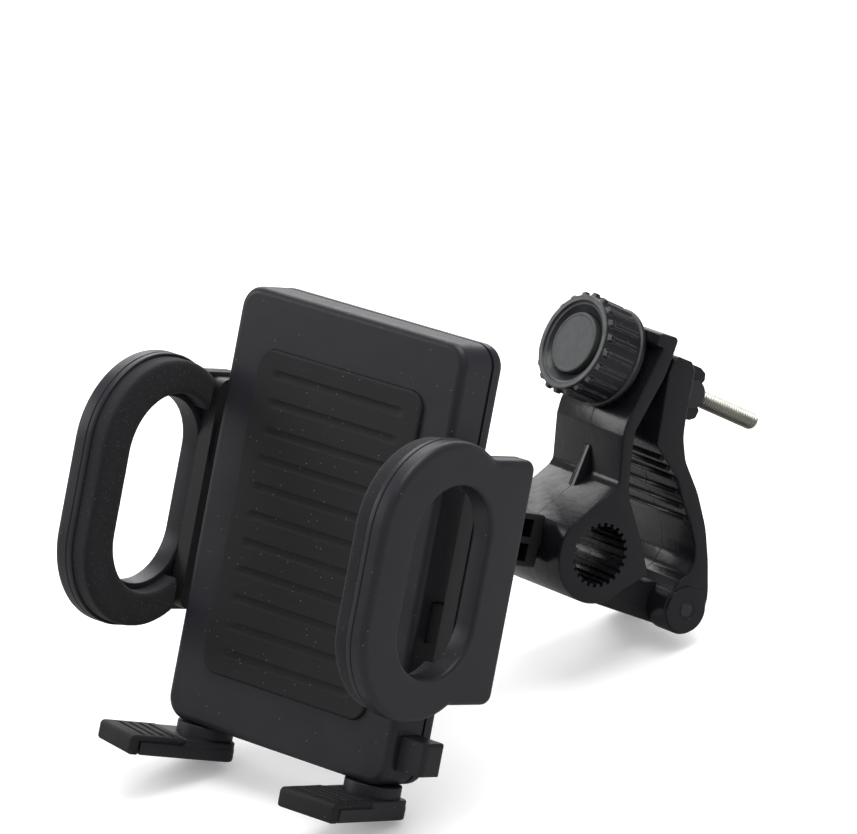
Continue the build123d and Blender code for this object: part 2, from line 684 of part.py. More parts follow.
with BuildPart() as ball_stem:
    Sphere(ball_r)
    with BuildSketch(Plane.XZ.offset(-5.0)):
        Circle(neck_r)
    extrude(amount=-(block_y0 - 4.0))
    with Locations((0, (block_y0 + block_y1) / 2, 0)):
        Box(block_w, block_y1 - block_y0, block_h)
    with BuildSketch(Plane.XZ.offset(-block_y1)):
        Rectangle(block_w, block_h)
    with BuildSketch(Plane.XZ.offset(-(pad_y - 0.06))):
        Rectangle(block_w - 1.4, block_h - 1.4)
    loft()
    with BuildSketch(Plane.XZ.offset(-(pad_y - 0.5))):
        Circle(3.4)
    extrude(amount=-1.6)
    for s in (-1, 1):
        for t in (-1, 1):
            with BuildSketch(Plane.YZ.offset(s * (rib_half + 1.6))):
                with Locations(((block_y0 + block_y1) / 2 - 0.6, t * (rib_half + block_h / 2 - skin) / 2)):
                    Rectangle(block_y1 - block_y0 - 4.0, block_h / 2 - skin - rib_half)
            extrude(amount=s * block_w, mode=Mode.SUBTRACT)
    with BuildSketch(Plane.XZ.offset(-(pad_y - 10.5))):
        Circle(bolt_r)
    extrude(amount=-16.0, mode=Mode.SUBTRACT)
    long_edges = ball_stem.edges().filter_by(Axis.Y).filter_by(lambda e: e.length > 15)
    fillet(long_edges.filter_by(lambda e: abs(e.center().Z) > 5), 0.8)
keep(ball_stem.part, stem_at, "ball_stem")

head_y = stem_length - 7.3

with BuildPart() as stem_screw:
    with BuildSketch(Plane.XZ.offset(-(pad_y - 10.0))):
        Circle(bolt_r)
    extrude(amount=-(head_y - pad_y + 10.0 - 1.0))
    with BuildSketch(Plane.XZ.offset(-(head_y - 1.8))):
        Circle(bolt_r)
    with BuildSketch(Plane.XZ.offset(-head_y)):
        Circle(3.6)
    loft()
    with BuildSketch(Plane.XZ.offset(-head_y)):
        RegularPolygon(1.5, 6)
    extrude(amount=1.4, mode=Mode.SUBTRACT)
keep(stem_screw.part, stem_at, "stem_screw")

# ======================= clamp =======================
half_c = clamp_w / 2
side = Plane.YZ
hu, hw = hinge_uw
jaw_left = [(-10.4, 3.2), (-4.8, 11.6), (-3.0, 14.4), (-2.6, 15.9), (-6.3, 25.2), (-6.8, 28.4), (-5.2, 45.9)]
jaw_hook = [(-7.4, 45.9), (-7.5, 48.7), (-2.2, 49.3), (-1.9, 45.2)]
jaw_right = [(-1.8, 40.2), (-3.6, 27.5), (-2.6, 23.7), (0.1, 16.7), (1.8, 13.6), (8.8, 6.6), (14.5, 0.1),
             (9.6, -4.9)]
stem_dir = Vector(0, -math.cos(tilt), -math.sin(tilt))
boss_plane = Plane(origin=(0, 0, 0), x_dir=(1, 0, 0), z_dir=stem_dir)

with BuildPart() as fixed_jaw:
    with BuildSketch(side):
        Circle(barrel_r)
        with BuildLine():
            Polyline(*(jaw_left + jaw_hook + jaw_right + [(0, 0)]), close=True)
        make_face()
    extrude(amount=half_c, both=True)
    with BuildSketch(boss_plane):
        Circle(boss_r)
    extrude(amount=boss_front)
    with BuildSketch(side):
        with BuildLine():
            Polyline((-5.0, 22.0), (-4.7, 9.5), (0, 9.5), (-2.0, 16.0), close=True)
        make_face()
    extrude(amount=1.3, both=True)
    with BuildSketch(side):
        with BuildLine():
            Polyline((2.0, -10.5), (6.0, 0.0), (14.2, -0.3), (19.5, -1.6), (hu - 4.5, hw + 2.6), (hu, hw),
                     (hu - 0.6, hw - 5.16), (9.0, -10.6), close=True)
        make_face()
        with Locations(hinge_uw):
            Circle(hinge_disc_r - 0.4)
    extrude(amount=link_w / 2, both=True)
    with BuildSketch(side):
        Circle(spline_crest_r)
        with PolarLocations((spline_crest_r + spline_root_r) / 2 - 0.2, spline_count):
            Rectangle(spline_root_r - spline_crest_r + 0.4, 0.9)
    extrude(amount=clamp_w, both=True, mode=Mode.SUBTRACT)
    with BuildSketch(side):
        with Locations(hinge_uw):
            Circle(pin_r + pin_gap)
    extrude(amount=clamp_w, both=True, mode=Mode.SUBTRACT)
    with Locations((0, -4.2, 41.1)):
        Box(slot_w, 8.0, 7.0, mode=Mode.SUBTRACT)
    with BuildSketch(boss_plane.offset(5.0)):
        Circle(bolt_r + 0.1)
    extrude(amount=10.0, mode=Mode.SUBTRACT)
    with BuildSketch(boss_plane.offset(boss_front - 1.3)):
        Circle(3.5)
    extrude(amount=5.0, mode=Mode.SUBTRACT)
    with BuildSketch(boss_plane.offset(7.2)):
        Circle(3.75)
    with BuildSketch(boss_plane.offset(9.25)):
        Circle(bolt_r + 0.1)
    loft(mode=Mode.SUBTRACT)
    with BuildSketch(boss_plane.offset(5.5)):
        Circle(3.75)
    extrude(amount=1.75, mode=Mode.SUBTRACT)
keep(fixed_jaw.part, jaw_at, "fixed_jaw")

mov_inner = [(-1.3, 44.6), (-1.2, 41.3), (3.1, 26.5), (12.0, 21.6), (15.7, 17.7), (20.4, 13.6), (23.6, 10.0),
             (24.9, 6.7), (24.6, 3.6), (22.4, 0.2)]
mov_outer = [(33.0, -3.4), (31.6, 2.2), (28.4, 8.2), (24.4, 14.4), (18.7, 20.6), (12.2, 25.8), (9.2, 30.3),
             (7.8, 34.5), (5.2, 44.3), (3.6, 45.8), (-0.6, 45.7)]
ridges = [(7.0, 24.4), (9.6, 22.95), (12.2, 21.4), (14.6, 18.9), (17.0, 16.6), (19.4, 14.5)]
cheek = [(3.0, 45.7), (13.4, 45.9), (15.1, 45.2), (15.6, 43.8), (14.1, 40.0), (17.3, 37.2), (17.1, 35.4),
         (15.8, 34.5), (7.0, 33.2)]
nu, nw = nut_uw

with BuildPart() as moving_jaw:
    with BuildSketch(side):
        with BuildLine():
            Polyline(*(mov_inner + [(hu - 3.0, hw)] + mov_outer), close=True)
        make_face()
        with Locations(hinge_uw):
            Circle(hinge_disc_r)
    extrude(amount=half_c, both=True)
    for ru, rw in ridges:
        with Locations((0, ru, rw)):
            Cylinder(0.75, clamp_w - 3.0, rotation=(0, 90, 0))
    for s in (-1, 1):
        with BuildSketch(side.offset(s * cheek_in)):
            with BuildLine():
                Polyline(*cheek, close=True)
            make_face()
        extrude(amount=s * cheek_t)
    with BuildSketch(side):
        with Locations(hinge_uw):
            Circle(hinge_disc_r + 0.1)
    extrude(amount=link_w / 2 + link_gap, both=True, mode=Mode.SUBTRACT)
    with BuildSketch(side):
        with Locations(hinge_uw):
            Circle(pin_r)
    extrude(amount=clamp_w, both=True, mode=Mode.SUBTRACT)
    with BuildSketch(side):
        with Locations(nut_uw):
            Circle(nut_r + 0.05)
    extrude(amount=cheek_in + cheek_t + 0.5, both=True, mode=Mode.SUBTRACT)
    with Locations((0, 3.5, 37.0)):
        Box(slot_w, 12.0, 11.4, mode=Mode.SUBTRACT)
    with Locations((0, 3.6, 27.4)):
        Box(7.0, 3.0, 2.0, mode=Mode.SUBTRACT)
keep(moving_jaw.part, jaw_at, "moving_jaw")

with BuildPart() as hinge_pin:
    with BuildSketch(side):
        with Locations(hinge_uw):
            Circle(pin_r)
    extrude(amount=half_c + 0.15, both=True)
keep(hinge_pin.part, jaw_at, "hinge_pin")

with BuildPart() as barrel_nut:
    with BuildSketch(side):
        with Locations(nut_uw):
            Circle(nut_r)
    extrude(amount=nut_half, both=True)
    with Locations((0, nu, nw)):
        Cylinder(bolt_r + 0.05, 20.0, rotation=(90, 0, 0), mode=Mode.SUBTRACT)
keep(barrel_nut.part, jaw_at, "barrel_nut")

thread_from = -4.0
grooves = int((bolt_tip - 0.8 - thread_from) / bolt_pitch)
bolt_line = [(0, -16.6), (3.6, -16.6), (3.6, -13.6), (bolt_r, -13.6), (bolt_r, thread_from)]
for k in range(grooves):
    y0 = thread_from + k * bolt_pitch
    bolt_line += [(bolt_r - 0.32, y0 + 0.3), (bolt_r - 0.32, y0 + 0.4), (bolt_r, y0 + bolt_pitch)]
bolt_line += [(bolt_r - 0.5, bolt_tip), (0, bolt_tip)]

with BuildPart() as clamp_bolt:
    with BuildSketch(Plane.XY):
        with BuildLine():
            Polyline(*bolt_line, close=True)
        make_face()
    revolve(axis=Axis.Y)
bolt_at = Location((0, 0, bolt_w))
keep(clamp_bolt.part, jaw_at * bolt_at, "clamp_bolt")

knob_line = [
    (0, -17.6), (9.3, -17.6), (9.3, knob_front + 0.3),
    (9.7, knob_front), (10.6, knob_front), (knob_r, knob_front + 0.5), (knob_r, knob_back - 1.6),
    (11.4, knob_back - 1.4), (11.4, knob_back - 0.4), (11.0, knob_back), (0, knob_back),
]

with BuildPart() as clamp_knob:
    with BuildSketch(Plane.XY):
        with BuildLine():
            Polyline(*knob_line, close=True)
        make_face()
    revolve(axis=Axis.Y)
    with BuildSketch(Plane.XZ.offset(-(knob_front + 0.7))):
        with PolarLocations(knob_r - 0.25, knob_ribs):
            RectangleRounded(1.4, 1.7, 0.6)
    extrude(amount=-(knob_back - 2.0 - knob_front))
    with BuildSketch(Plane.XZ.offset(-knob_front)):
        Circle(6.25)
    extrude(amount=-2.7, mode=Mode.SUBTRACT)
    with BuildSketch(Plane.XZ.offset(-knob_front)):
        Circle(3.6)
    extrude(amount=-(-13.6 - knob_front), mode=Mode.SUBTRACT)
    with BuildSketch(Plane.XZ.offset(-knob_front)):
        Circle(bolt_r)
    extrude(amount=-20.0, mode=Mode.SUBTRACT)
keep(clamp_knob.part, jaw_at * bolt_at, "clamp_knob")

with BuildPart() as knob_cap:
    with BuildSketch(Plane.XZ.offset(16.6)):
        Circle(6.2)
    extrude(amount=2.4)
    fillet(knob_cap.edges().group_by(Axis.Y)[0], 0.5)
keep(knob_cap.part, jaw_at * bolt_at, "knob_cap")

with BuildPart() as clamp_washer:
    with BuildSketch(Plane.XZ.offset(-knob_back)):
        Circle(washer_r)
        Circle(bolt_r + 0.05, mode=Mode.SUBTRACT)
    extrude(amount=-washer_t)
keep(clamp_washer.part, jaw_at * bolt_at, "clamp_washer")
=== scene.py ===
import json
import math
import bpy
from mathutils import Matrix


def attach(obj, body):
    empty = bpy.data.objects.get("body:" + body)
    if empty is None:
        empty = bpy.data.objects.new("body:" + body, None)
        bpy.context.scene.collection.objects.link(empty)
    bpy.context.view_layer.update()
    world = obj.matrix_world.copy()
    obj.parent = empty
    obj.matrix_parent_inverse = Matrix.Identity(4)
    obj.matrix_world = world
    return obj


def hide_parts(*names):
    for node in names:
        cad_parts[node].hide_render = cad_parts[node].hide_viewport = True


bl_info = {
    "name": "Phone handlebar mount",
    "version": (1, 0, 0),
    "blender": (4, 5, 0),
    "location": "View3D > Sidebar > Phone mount",
    "description": "Builds the looks of a squeeze-grip phone cradle with a handlebar clamp",
    "category": "Object",
}

import bmesh
import bpy
import numpy as np
from bpy.props import FloatProperty, FloatVectorProperty, PointerProperty
from mathutils import Matrix, Vector
from mathutils.geometry import tessellate_polygon

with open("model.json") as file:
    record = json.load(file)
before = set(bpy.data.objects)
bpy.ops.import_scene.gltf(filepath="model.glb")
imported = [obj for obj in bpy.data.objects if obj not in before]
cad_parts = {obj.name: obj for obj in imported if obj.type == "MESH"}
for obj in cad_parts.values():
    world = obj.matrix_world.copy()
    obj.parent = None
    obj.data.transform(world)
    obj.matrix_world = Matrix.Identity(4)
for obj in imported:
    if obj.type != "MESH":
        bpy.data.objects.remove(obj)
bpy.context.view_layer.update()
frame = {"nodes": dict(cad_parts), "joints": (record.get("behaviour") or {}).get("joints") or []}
NODES = frame["nodes"]
JOINTS = {joint["name"]: joint for joint in frame["joints"]}
MM = 0.001


# ---------------------------------------------------------------- where things are
class Bench:
    """A working frame: an origin in metres and three unit axes. Points on it are given in millimetres."""

    def __init__(self, origin, x_axis, y_axis, z_axis):
        self.origin = np.array(origin, float)
        self.axes = np.array([x_axis, y_axis, z_axis], float)

    def place(self, points):
        """Origin plus the three coordinates times the three axes."""
        return self.origin + (np.asarray(points, float) * MM) @ self.axes

    def at(self, point, order=(0, 1, 2)):
        """A frame at that point, with this frame's axes in another order."""
        return Bench(self.place([point])[0], *self.axes[list(order)])

    def turned(self, degrees):
        """This frame turned about its own Z axis."""
        c, s = math.cos(math.radians(degrees)), math.sin(math.radians(degrees))
        x, y, z = self.axes
        return Bench(self.origin, c * x + s * y, -s * x + c * y, z)


def joint_axis(name):
    return np.array(JOINTS[name]["axis"], float)


def bench_from(joint, known_mm, x_axis, y_axis, z_axis):
    """The frame in which the joint's point has the coordinates known_mm."""
    axes = np.array([x_axis, y_axis, z_axis], float)
    return Bench(np.array(JOINTS[joint]["pos_m"], float) - (np.array(known_mm, float) * MM) @ axes, *axes)


BALL_CENTRE = (0.0, 34.0, -23.0)
HINGE = (27.4, -3.7)
BOLT_HEIGHT = 40.0
CRADLE = bench_from(
    "ball_yaw", BALL_CENTRE, joint_axis("arm_slide_right"), joint_axis("ring_turn"), joint_axis("ball_yaw")
)
ACROSS, ALONG = -joint_axis("jaw_swing"), joint_axis("knob_turn")
CLAMP = bench_from("jaw_swing", (0, *HINGE), ACROSS, ALONG, np.cross(ACROSS, ALONG))
STEM_WAY = joint_axis("stem_swivel")

HALF_CLAMP = 12.5
SHELL_IN = 39.0
SHELL_OUT = 44.0
PAD_FACE = 35.0
ARM_MID = -27.0
HOLE_Y = 2.4


# ---------------------------------------------------------------- outlines
def rounded(corners, radius=0.0, fineness=0.14):
    """Straight sides joined by arcs tangent to both. A corner is (u, w) or (u, w, its own radius)."""
    out = []
    count = len(corners)
    for i, corner in enumerate(corners):
        here = np.array(corner[:2], float)
        back = np.array(corners[i - 1][:2], float) - here
        ahead = np.array(corners[(i + 1) % count][:2], float) - here
        r = corner[2] if len(corner) > 2 else radius
        len_back, len_ahead = np.linalg.norm(back), np.linalg.norm(ahead)
        back, ahead = back / len_back, ahead / len_ahead
        angle = math.acos(float(np.clip(back @ ahead, -1, 1)))
        if r <= 0 or angle > math.pi - 0.02:
            out.append(here[None])
            continue
        reach = min(r / math.tan(angle / 2), 0.49 * len_back, 0.49 * len_ahead)
        r = reach * math.tan(angle / 2)
        middle = (back + ahead) / np.linalg.norm(back + ahead)
        centre = here + middle * (r / math.sin(angle / 2))
        first, last = here + back * reach - centre, here + ahead * reach - centre
        a0, a1 = math.atan2(first[1], first[0]), math.atan2(last[1], last[0])
        turn = (a1 - a0 + math.pi) % (2 * math.pi) - math.pi
        a = a0 + turn * np.linspace(0, 1, max(3, int(abs(turn) / fineness) + 2))
        out.append(centre + r * np.stack([np.cos(a), np.sin(a)], 1))
    return np.concatenate(out)


def arc(centre, radius, start, end, count=40):
    """Corners along a circle from one angle to another, in degrees, that are not rounded again."""
    a = np.radians(np.linspace(start, end, count))
    return [(centre[0] + radius * math.cos(t), centre[1] + radius * math.sin(t), 0.0) for t in a]


def circle(centre, radius, count=72):
    a = np.linspace(0, 2 * math.pi, count, endpoint=False)
    return np.array(centre, float) + radius * np.stack([np.cos(a), np.sin(a)], 1)


def anticlockwise(loop):
    x, y = loop.T
    return loop if np.sum(x * np.roll(y, -1) - np.roll(x, -1) * y) > 0 else loop[::-1]


def inset(loop, distance):
    """Each point moved inwards by the distance, along the mean of its two sides' normals."""
    ahead = np.roll(loop, -1, 0) - loop
    back = loop - np.roll(loop, 1, 0)
    ahead = ahead / np.maximum(np.linalg.norm(ahead, axis=1, keepdims=True), 1e-9)
    back = back / np.maximum(np.linalg.norm(back, axis=1, keepdims=True), 1e-9)
    mean = np.stack([-ahead[:, 1] - back[:, 1], ahead[:, 0] + back[:, 0]], 1)
    return loop + distance * 2 * mean / np.maximum(np.sum(mean * mean, 1, keepdims=True), 1.2)


def by_rays(loop, centre, angles):
    """The outline's points where rays from the centre at those angles meet it."""
    away = loop - np.array(centre)
    turn = np.unwrap(np.arctan2(away[:, 1], away[:, 0]))
    reach = np.linalg.norm(away, axis=1)
    if turn[-1] < turn[0]:
        turn, reach, away = turn[::-1], reach[::-1], away[::-1]
    turn = np.concatenate([turn, turn[:1] + 2 * math.pi])
    away = np.concatenate([away, away[:1]])
    spots = turn[0] + (angles - turn[0]) % (2 * math.pi)
    k = np.clip(np.searchsorted(turn, spots, side="right") - 1, 0, len(turn) - 2)
    p, q = away[k], away[k + 1]
    ray = np.stack([np.cos(spots), np.sin(spots)], 1)
    side = q - p
    cross = lambda a, b: a[:, 0] * b[:, 1] - a[:, 1] * b[:, 0]
    slope = cross(side, ray)
    share = np.clip(-cross(p, ray) / np.where(np.abs(slope) < 1e-12, 1e-12, slope), 0, 1)
    return np.array(centre) + p + side * share[:, None]


# ---------------------------------------------------------------- meshes
def new_object(name, vertices, faces):
    mesh = bpy.data.meshes.new(name)
    mesh.from_pydata(np.asarray(vertices).tolist(), [], faces)
    mesh.validate()
    obj = bpy.data.objects.new(name, mesh)
    bpy.context.scene.collection.objects.link(obj)
    outward(obj)
    return obj


def outward(obj):
    """Merges doubled points, dissolves degenerate edges and faces and turns every face outwards."""
    work = bmesh.new()
    work.from_mesh(obj.data)
    bmesh.ops.remove_doubles(work, verts=work.verts, dist=2e-7)
    bmesh.ops.dissolve_degenerate(work, edges=work.edges, dist=1e-8)
    bmesh.ops.recalc_face_normals(work, faces=work.faces)
    work.to_mesh(obj.data)
    work.free()
    obj.data.polygons.foreach_set("use_smooth", np.ones(len(obj.data.polygons), bool))
    obj.data.update()


def lattice(rows, cols, close_rows=False, start=0):
    """Quads between the neighbours of a rows x cols lattice whose columns run round and meet."""
    r = np.arange(rows if close_rows else rows - 1)
    rr, cc = np.meshgrid(r, np.arange(cols), indexing="ij")
    r1, c1 = (rr + 1) % rows, (cc + 1) % cols
    quads = np.stack([rr * cols + cc, rr * cols + c1, r1 * cols + c1, r1 * cols + cc], -1)
    return (quads.reshape(-1, 4) + start).tolist()


def quarter(radius, steps=4):
    """(inwards, up) along a quarter round, from the flat face's level to the wall."""
    a = np.linspace(0, math.pi / 2, steps + 1)
    return [(radius * (1 - math.sin(t)), radius * (1 - math.cos(t))) for t in a]


def slab(name, bench, outer, holes, low, high, rim=0.5, hole_rim=0.3, steps=3):
    """A plate standing between two heights. Each wall is its outline moved in by r(1-sin t) and up by
    r(1-cos t), t from 0 to a right angle, at both ends; the two faces are triangles between the ends."""
    loops = [(anticlockwise(np.asarray(outer, float)), rim, 1)]
    loops += [(anticlockwise(np.asarray(h, float)), hole_rim, -1) for h in holes]
    points, faces, ends = [], [], ([], [])
    start = 0
    for loop, r, sign in loops:
        rows = [(d, low + h) for d, h in quarter(r, steps)] if r > 0 else [(0, low)]
        rows += [(d, high - h) for d, h in reversed(quarter(r, steps))] if r > 0 else [(0, high)]
        for d, x in rows:
            flat = inset(loop, sign * d)
            points.append(np.column_stack([np.full(len(loop), x), flat]))
        faces += lattice(len(rows), len(loop), start=start)
        ends[0].append(np.arange(start, start + len(loop)))
        ends[1].append(np.arange(start + (len(rows) - 1) * len(loop), start + len(rows) * len(loop)))
        start += len(rows) * len(loop)
    points = np.concatenate(points)
    for end in ends:
        flat = [[Vector((p[1], p[2], 0)) for p in points[ids]] for ids in end]
        ids = np.concatenate(end)
        faces += [[int(ids[i]) for i in tri] for tri in tessellate_polygon(flat)]
    return new_object(name, bench.place(points), faces)


def lathe(name, bench, profile, count=96):
    """A profile of (radius, y) carried once round the frame's Y axis. It starts and ends on the axis."""
    profile = np.asarray(profile, float)
    a = np.linspace(0, 2 * math.pi, count, endpoint=False)
    r, y = profile[1:-1, :1], profile[1:-1, 1:]
    rows = len(profile) - 2
    grid = np.stack([r * np.cos(a), np.broadcast_to(y, (rows, count)), r * np.sin(a)], -1).reshape(-1, 3)
    return capped(name, bench, grid, rows, count, profile[0, 1], profile[-1, 1])


def capped(name, bench, grid, rows, count, first_y, last_y):
    """A lattice of rings round the Y axis, closed by a point on the axis at each end."""
    faces = lattice(rows, count)
    points = np.vstack([grid, [[0, first_y, 0], [0, last_y, 0]]])
    low, high, top = len(grid), len(grid) + 1, (rows - 1) * count
    faces += [[low, (i + 1) % count, i] for i in range(count)]
    faces += [[high, top + i, top + (i + 1) % count] for i in range(count)]
    return new_object(name, bench.place(points), faces)


def round_corners(profile, radius, steps=3):
    """The same turned profile with every inner corner an arc."""
    out = [profile[0]]
    for before, here, after in zip(profile, profile[1:], profile[2:]):
        r = here[2] if len(here) > 2 else radius
        p = np.array(here[:2], float)
        a, b = np.array(before[:2], float) - p, np.array(after[:2], float) - p
        reach = min(r, 0.45 * np.linalg.norm(a), 0.45 * np.linalg.norm(b))
        a, b = a / np.linalg.norm(a), b / np.linalg.norm(b)
        t = np.linspace(0, 1, steps + 1)[:, None]
        out += (((1 - t) ** 2) * (p + a * reach) + 2 * t * (1 - t) * p + t * t * (p + b * reach)).tolist()
    return [tuple(q[:2]) for q in out] + [profile[-1][:2]]


def settle(obj):
    """Puts the modifiers' result into the mesh."""
    bpy.context.view_layer.update()
    graph = bpy.context.evaluated_depsgraph_get()
    mesh = bpy.data.meshes.new_from_object(obj.evaluated_get(graph))
    obj.modifiers.clear()
    old, obj.data = obj.data, mesh
    bpy.data.meshes.remove(old)


def carve(obj, operation, *others):
    """Adds each other solid to the piece, or takes it out, and removes the other, in millimetres."""
    obj.data.transform(Matrix.Scale(1 / MM, 4))
    for other in others:
        other.data.transform(Matrix.Scale(1 / MM, 4))
        step = obj.modifiers.new("carve", "BOOLEAN")
        step.operation, step.solver, step.object = operation, "EXACT", other
        settle(obj)
        if len(obj.data.polygons) < 6:
            raise RuntimeError(f"{obj.name}: nothing was left after {operation} with {other.name}")
        old = other.data
        bpy.data.objects.remove(other)
        bpy.data.meshes.remove(old)
    obj.data.transform(Matrix.Scale(MM, 4))
    return obj


def soften(obj, degrees=32):
    """Smooth shading, with a crease wherever two faces meet at more than the angle."""
    bpy.ops.object.select_all(action="DESELECT")
    obj.select_set(True)
    bpy.context.view_layer.objects.active = obj
    bpy.ops.object.shade_smooth_by_angle(angle=math.radians(degrees))
    obj.select_set(False)


def finish_piece(obj, body, material, nodes=(), crease=32):
    """Gives a piece its finish, its body and the CAD nodes that it stands for."""
    soften(obj, crease)
    obj.data.materials.clear()
    obj.data.materials.append(material)
    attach(obj, body)
    if nodes:
        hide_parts(*nodes)
    return obj


# ---------------------------------------------------------------- finishes
def group(name, inputs, outputs):
    """A shader node group with named inputs (name, default) and outputs (name, kind)."""
    tree = bpy.data.node_groups.new(name, "ShaderNodeTree")
    for label, default in inputs:
        socket = tree.interface.new_socket(label, in_out="INPUT", socket_type="NodeSocketFloat")
        socket.default_value = default
    for label, kind in outputs:
        tree.interface.new_socket(label, in_out="OUTPUT", socket_type="NodeSocket" + kind)
    return tree, tree.nodes.new("NodeGroupInput"), tree.nodes.new("NodeGroupOutput")


def add(tree, kind, *feeds, **values):
    """A node with its properties set and its inputs filled, the first by place and the rest by name.
    A socket is linked and a value is stored; underscores stand for spaces."""
    node = tree.nodes.new("ShaderNode" + kind)
    inputs = [(place, feed) for place, feed in enumerate(feeds) if feed is not None]
    for key, value in values.items():
        if hasattr(node, key):
            setattr(node, key, value)
        else:
            inputs.append((key.replace("_", " "), value))
    for key, value in inputs:
        if isinstance(value, bpy.types.NodeSocket):
            tree.links.new(value, node.inputs[key])
        else:
            node.inputs[key].default_value = value
    return node


def mix_colours(tree, share, first, second):
    """The two colours mixed by the share; each is a socket or three numbers."""
    node = add(tree, "Mix", share, data_type="RGBA")
    for place, colour_in in ((6, first), (7, second)):
        if isinstance(colour_in, bpy.types.NodeSocket):
            tree.links.new(colour_in, node.inputs[place])
        else:
            node.inputs[place].default_value = (*colour_in, 1)
    return node.outputs[2]


def grain_group():
    """Fine moulding grain: noise that lifts the surface and varies its gloss, over slow, broad unevenness."""
    tree, given, out = group(
        "moulding_grain",
        [("Scale", 2500.0), ("Height", 0.00002), ("Gloss low", 0.3), ("Gloss high", 0.45), ("Wave", 0.0)],
        [("Normal", "Vector"), ("Roughness", "Float"), ("Mottle", "Float")],
    )
    where = add(tree, "TexCoord").outputs["Object"]
    fine = add(tree, "TexNoise", Vector=where, Scale=given.outputs["Scale"], Detail=4.0, Roughness=0.6)
    broad = add(tree, "TexNoise", Vector=where, Scale=160.0, Detail=3.0)
    fine, broad = fine.outputs["Fac"], broad.outputs["Fac"]
    sag = add(tree, "Bump", Strength=1.0, Height=broad, Distance=given.outputs["Wave"])
    lift = add(tree, "Bump", Strength=1.0, Height=fine, Distance=given.outputs["Height"], Normal=sag.outputs[0])
    fine_share = add(tree, "Math", fine, 0.35, operation="MULTIPLY")
    broad_share = add(tree, "Math", broad, 0.65, operation="MULTIPLY")
    mix = add(tree, "Math", fine_share.outputs[0], broad_share.outputs[0], operation="ADD")
    gloss = add(
        tree, "MapRange", Value=mix.outputs[0], From_Min=0.3, From_Max=0.7,
        To_Min=given.outputs["Gloss low"], To_Max=given.outputs["Gloss high"],
    )
    tree.links.new(lift.outputs["Normal"], out.inputs["Normal"])
    tree.links.new(gloss.outputs["Result"], out.inputs["Roughness"])
    tree.links.new(mix.outputs[0], out.inputs["Mottle"])
    return tree


def speck_group():
    """Sparse pale dust: the few Voronoi cells whose own value is high, each a dot at its centre."""
    inputs = [("Scale", 2600.0), ("Share", 0.1), ("Size", 0.3)]
    tree, given, out = group("dust_specks", inputs, [("Mask", "Float")])
    where = add(tree, "TexCoord").outputs["Object"]
    cells = add(tree, "TexVoronoi", Vector=where, Scale=given.outputs["Scale"])
    near = add(tree, "Math", cells.outputs["Distance"], given.outputs["Size"], operation="LESS_THAN")
    split = add(tree, "SeparateColor", Color=cells.outputs["Color"])
    chosen = add(tree, "Math", split.outputs[0], given.outputs["Share"], operation="LESS_THAN")
    both = add(tree, "Math", near.outputs[0], chosen.outputs[0], operation="MULTIPLY")
    tree.links.new(both.outputs[0], out.inputs["Mask"])
    return tree


def wear_group():
    """Rubbed edges: how far the rounded normal leaves the true one, broken up by noise."""
    tree, given, out = group("rubbed_edges", [("Width", 0.0004), ("Amount", 1.0)], [("Mask", "Float")])
    round_off = add(tree, "Bevel", samples=4, Radius=given.outputs["Width"]).outputs["Normal"]
    true = add(tree, "NewGeometry").outputs["Normal"]
    dot = add(tree, "VectorMath", round_off, true, operation="DOT_PRODUCT")
    edge = add(tree, "MapRange", Value=dot.outputs["Value"], From_Min=0.995, From_Max=0.85)
    where = add(tree, "TexCoord").outputs["Object"]
    patches = add(tree, "TexNoise", Vector=where, Scale=700.0, Detail=4.0)
    broken = add(tree, "Math", edge.outputs["Result"], patches.outputs["Fac"], operation="MULTIPLY")
    scaled = add(tree, "Math", broken.outputs[0], given.outputs["Amount"], operation="MULTIPLY", use_clamp=True)
    tree.links.new(scaled.outputs[0], out.inputs["Mask"])
    return tree


GROUPS = {}


def use_group(tree, name, **values):
    """A placed group with its inputs set; underscores stand for spaces."""
    if name not in GROUPS:
        GROUPS[name] = {"grain": grain_group, "specks": speck_group, "wear": wear_group}[name]()
    node = tree.nodes.new("ShaderNodeGroup")
    node.node_tree = GROUPS[name]
    for key, value in values.items():
        node.inputs[key.replace("_", " ")].default_value = value
    return node


def blank(name, **values):
    """A material with one Principled shader and its fixed values."""
    material = bpy.data.materials.new(name)
    material.use_nodes = True
    shader = material.node_tree.nodes["Principled BSDF"]
    for key, value in values.items():
        shader.inputs[key.replace("_", " ")].default_value = value
    return material, material.node_tree, shader


def moulded(name, colour, gloss, grain=2600.0, height=0.000012, wave=0.0, lighter=1.35, specks=0.0, wear=0.0,
            pale=(0.16, 0.165, 0.17), **values):
    """Moulded plastic, rubber or foam: grain, a slow drift of colour, dust and rubbed edges."""
    material, tree, shader = blank(name, **values)
    grained = use_group(
        tree, "grain", Scale=grain, Height=height, Gloss_low=gloss[0], Gloss_high=gloss[1], Wave=wave,
    )
    last = mix_colours(tree, grained.outputs["Mottle"], colour, [c * lighter for c in colour])
    for kind, key, amount in (("specks", "Share", specks), ("wear", "Amount", wear)):
        if amount > 0:
            last = mix_colours(tree, use_group(tree, kind, **{key: amount}).outputs["Mask"], last, pale)
    tree.links.new(last, shader.inputs["Base Color"])
    tree.links.new(grained.outputs["Roughness"], shader.inputs["Roughness"])
    tree.links.new(grained.outputs["Normal"], shader.inputs["Normal"])
    return material


def facing_mask(tree, axis, low=0.8, high=0.98):
    """1 where the piece's surface faces along the axis, 0 where it doesn't."""
    normal = add(tree, "TexCoord").outputs["Normal"]
    facing = add(tree, "VectorMath", normal, tuple(axis), operation="DOT_PRODUCT")
    size = add(tree, "Math", facing.outputs["Value"], operation="ABSOLUTE")
    return add(tree, "MapRange", Value=size.outputs[0], From_Min=low, From_Max=high).outputs["Result"]


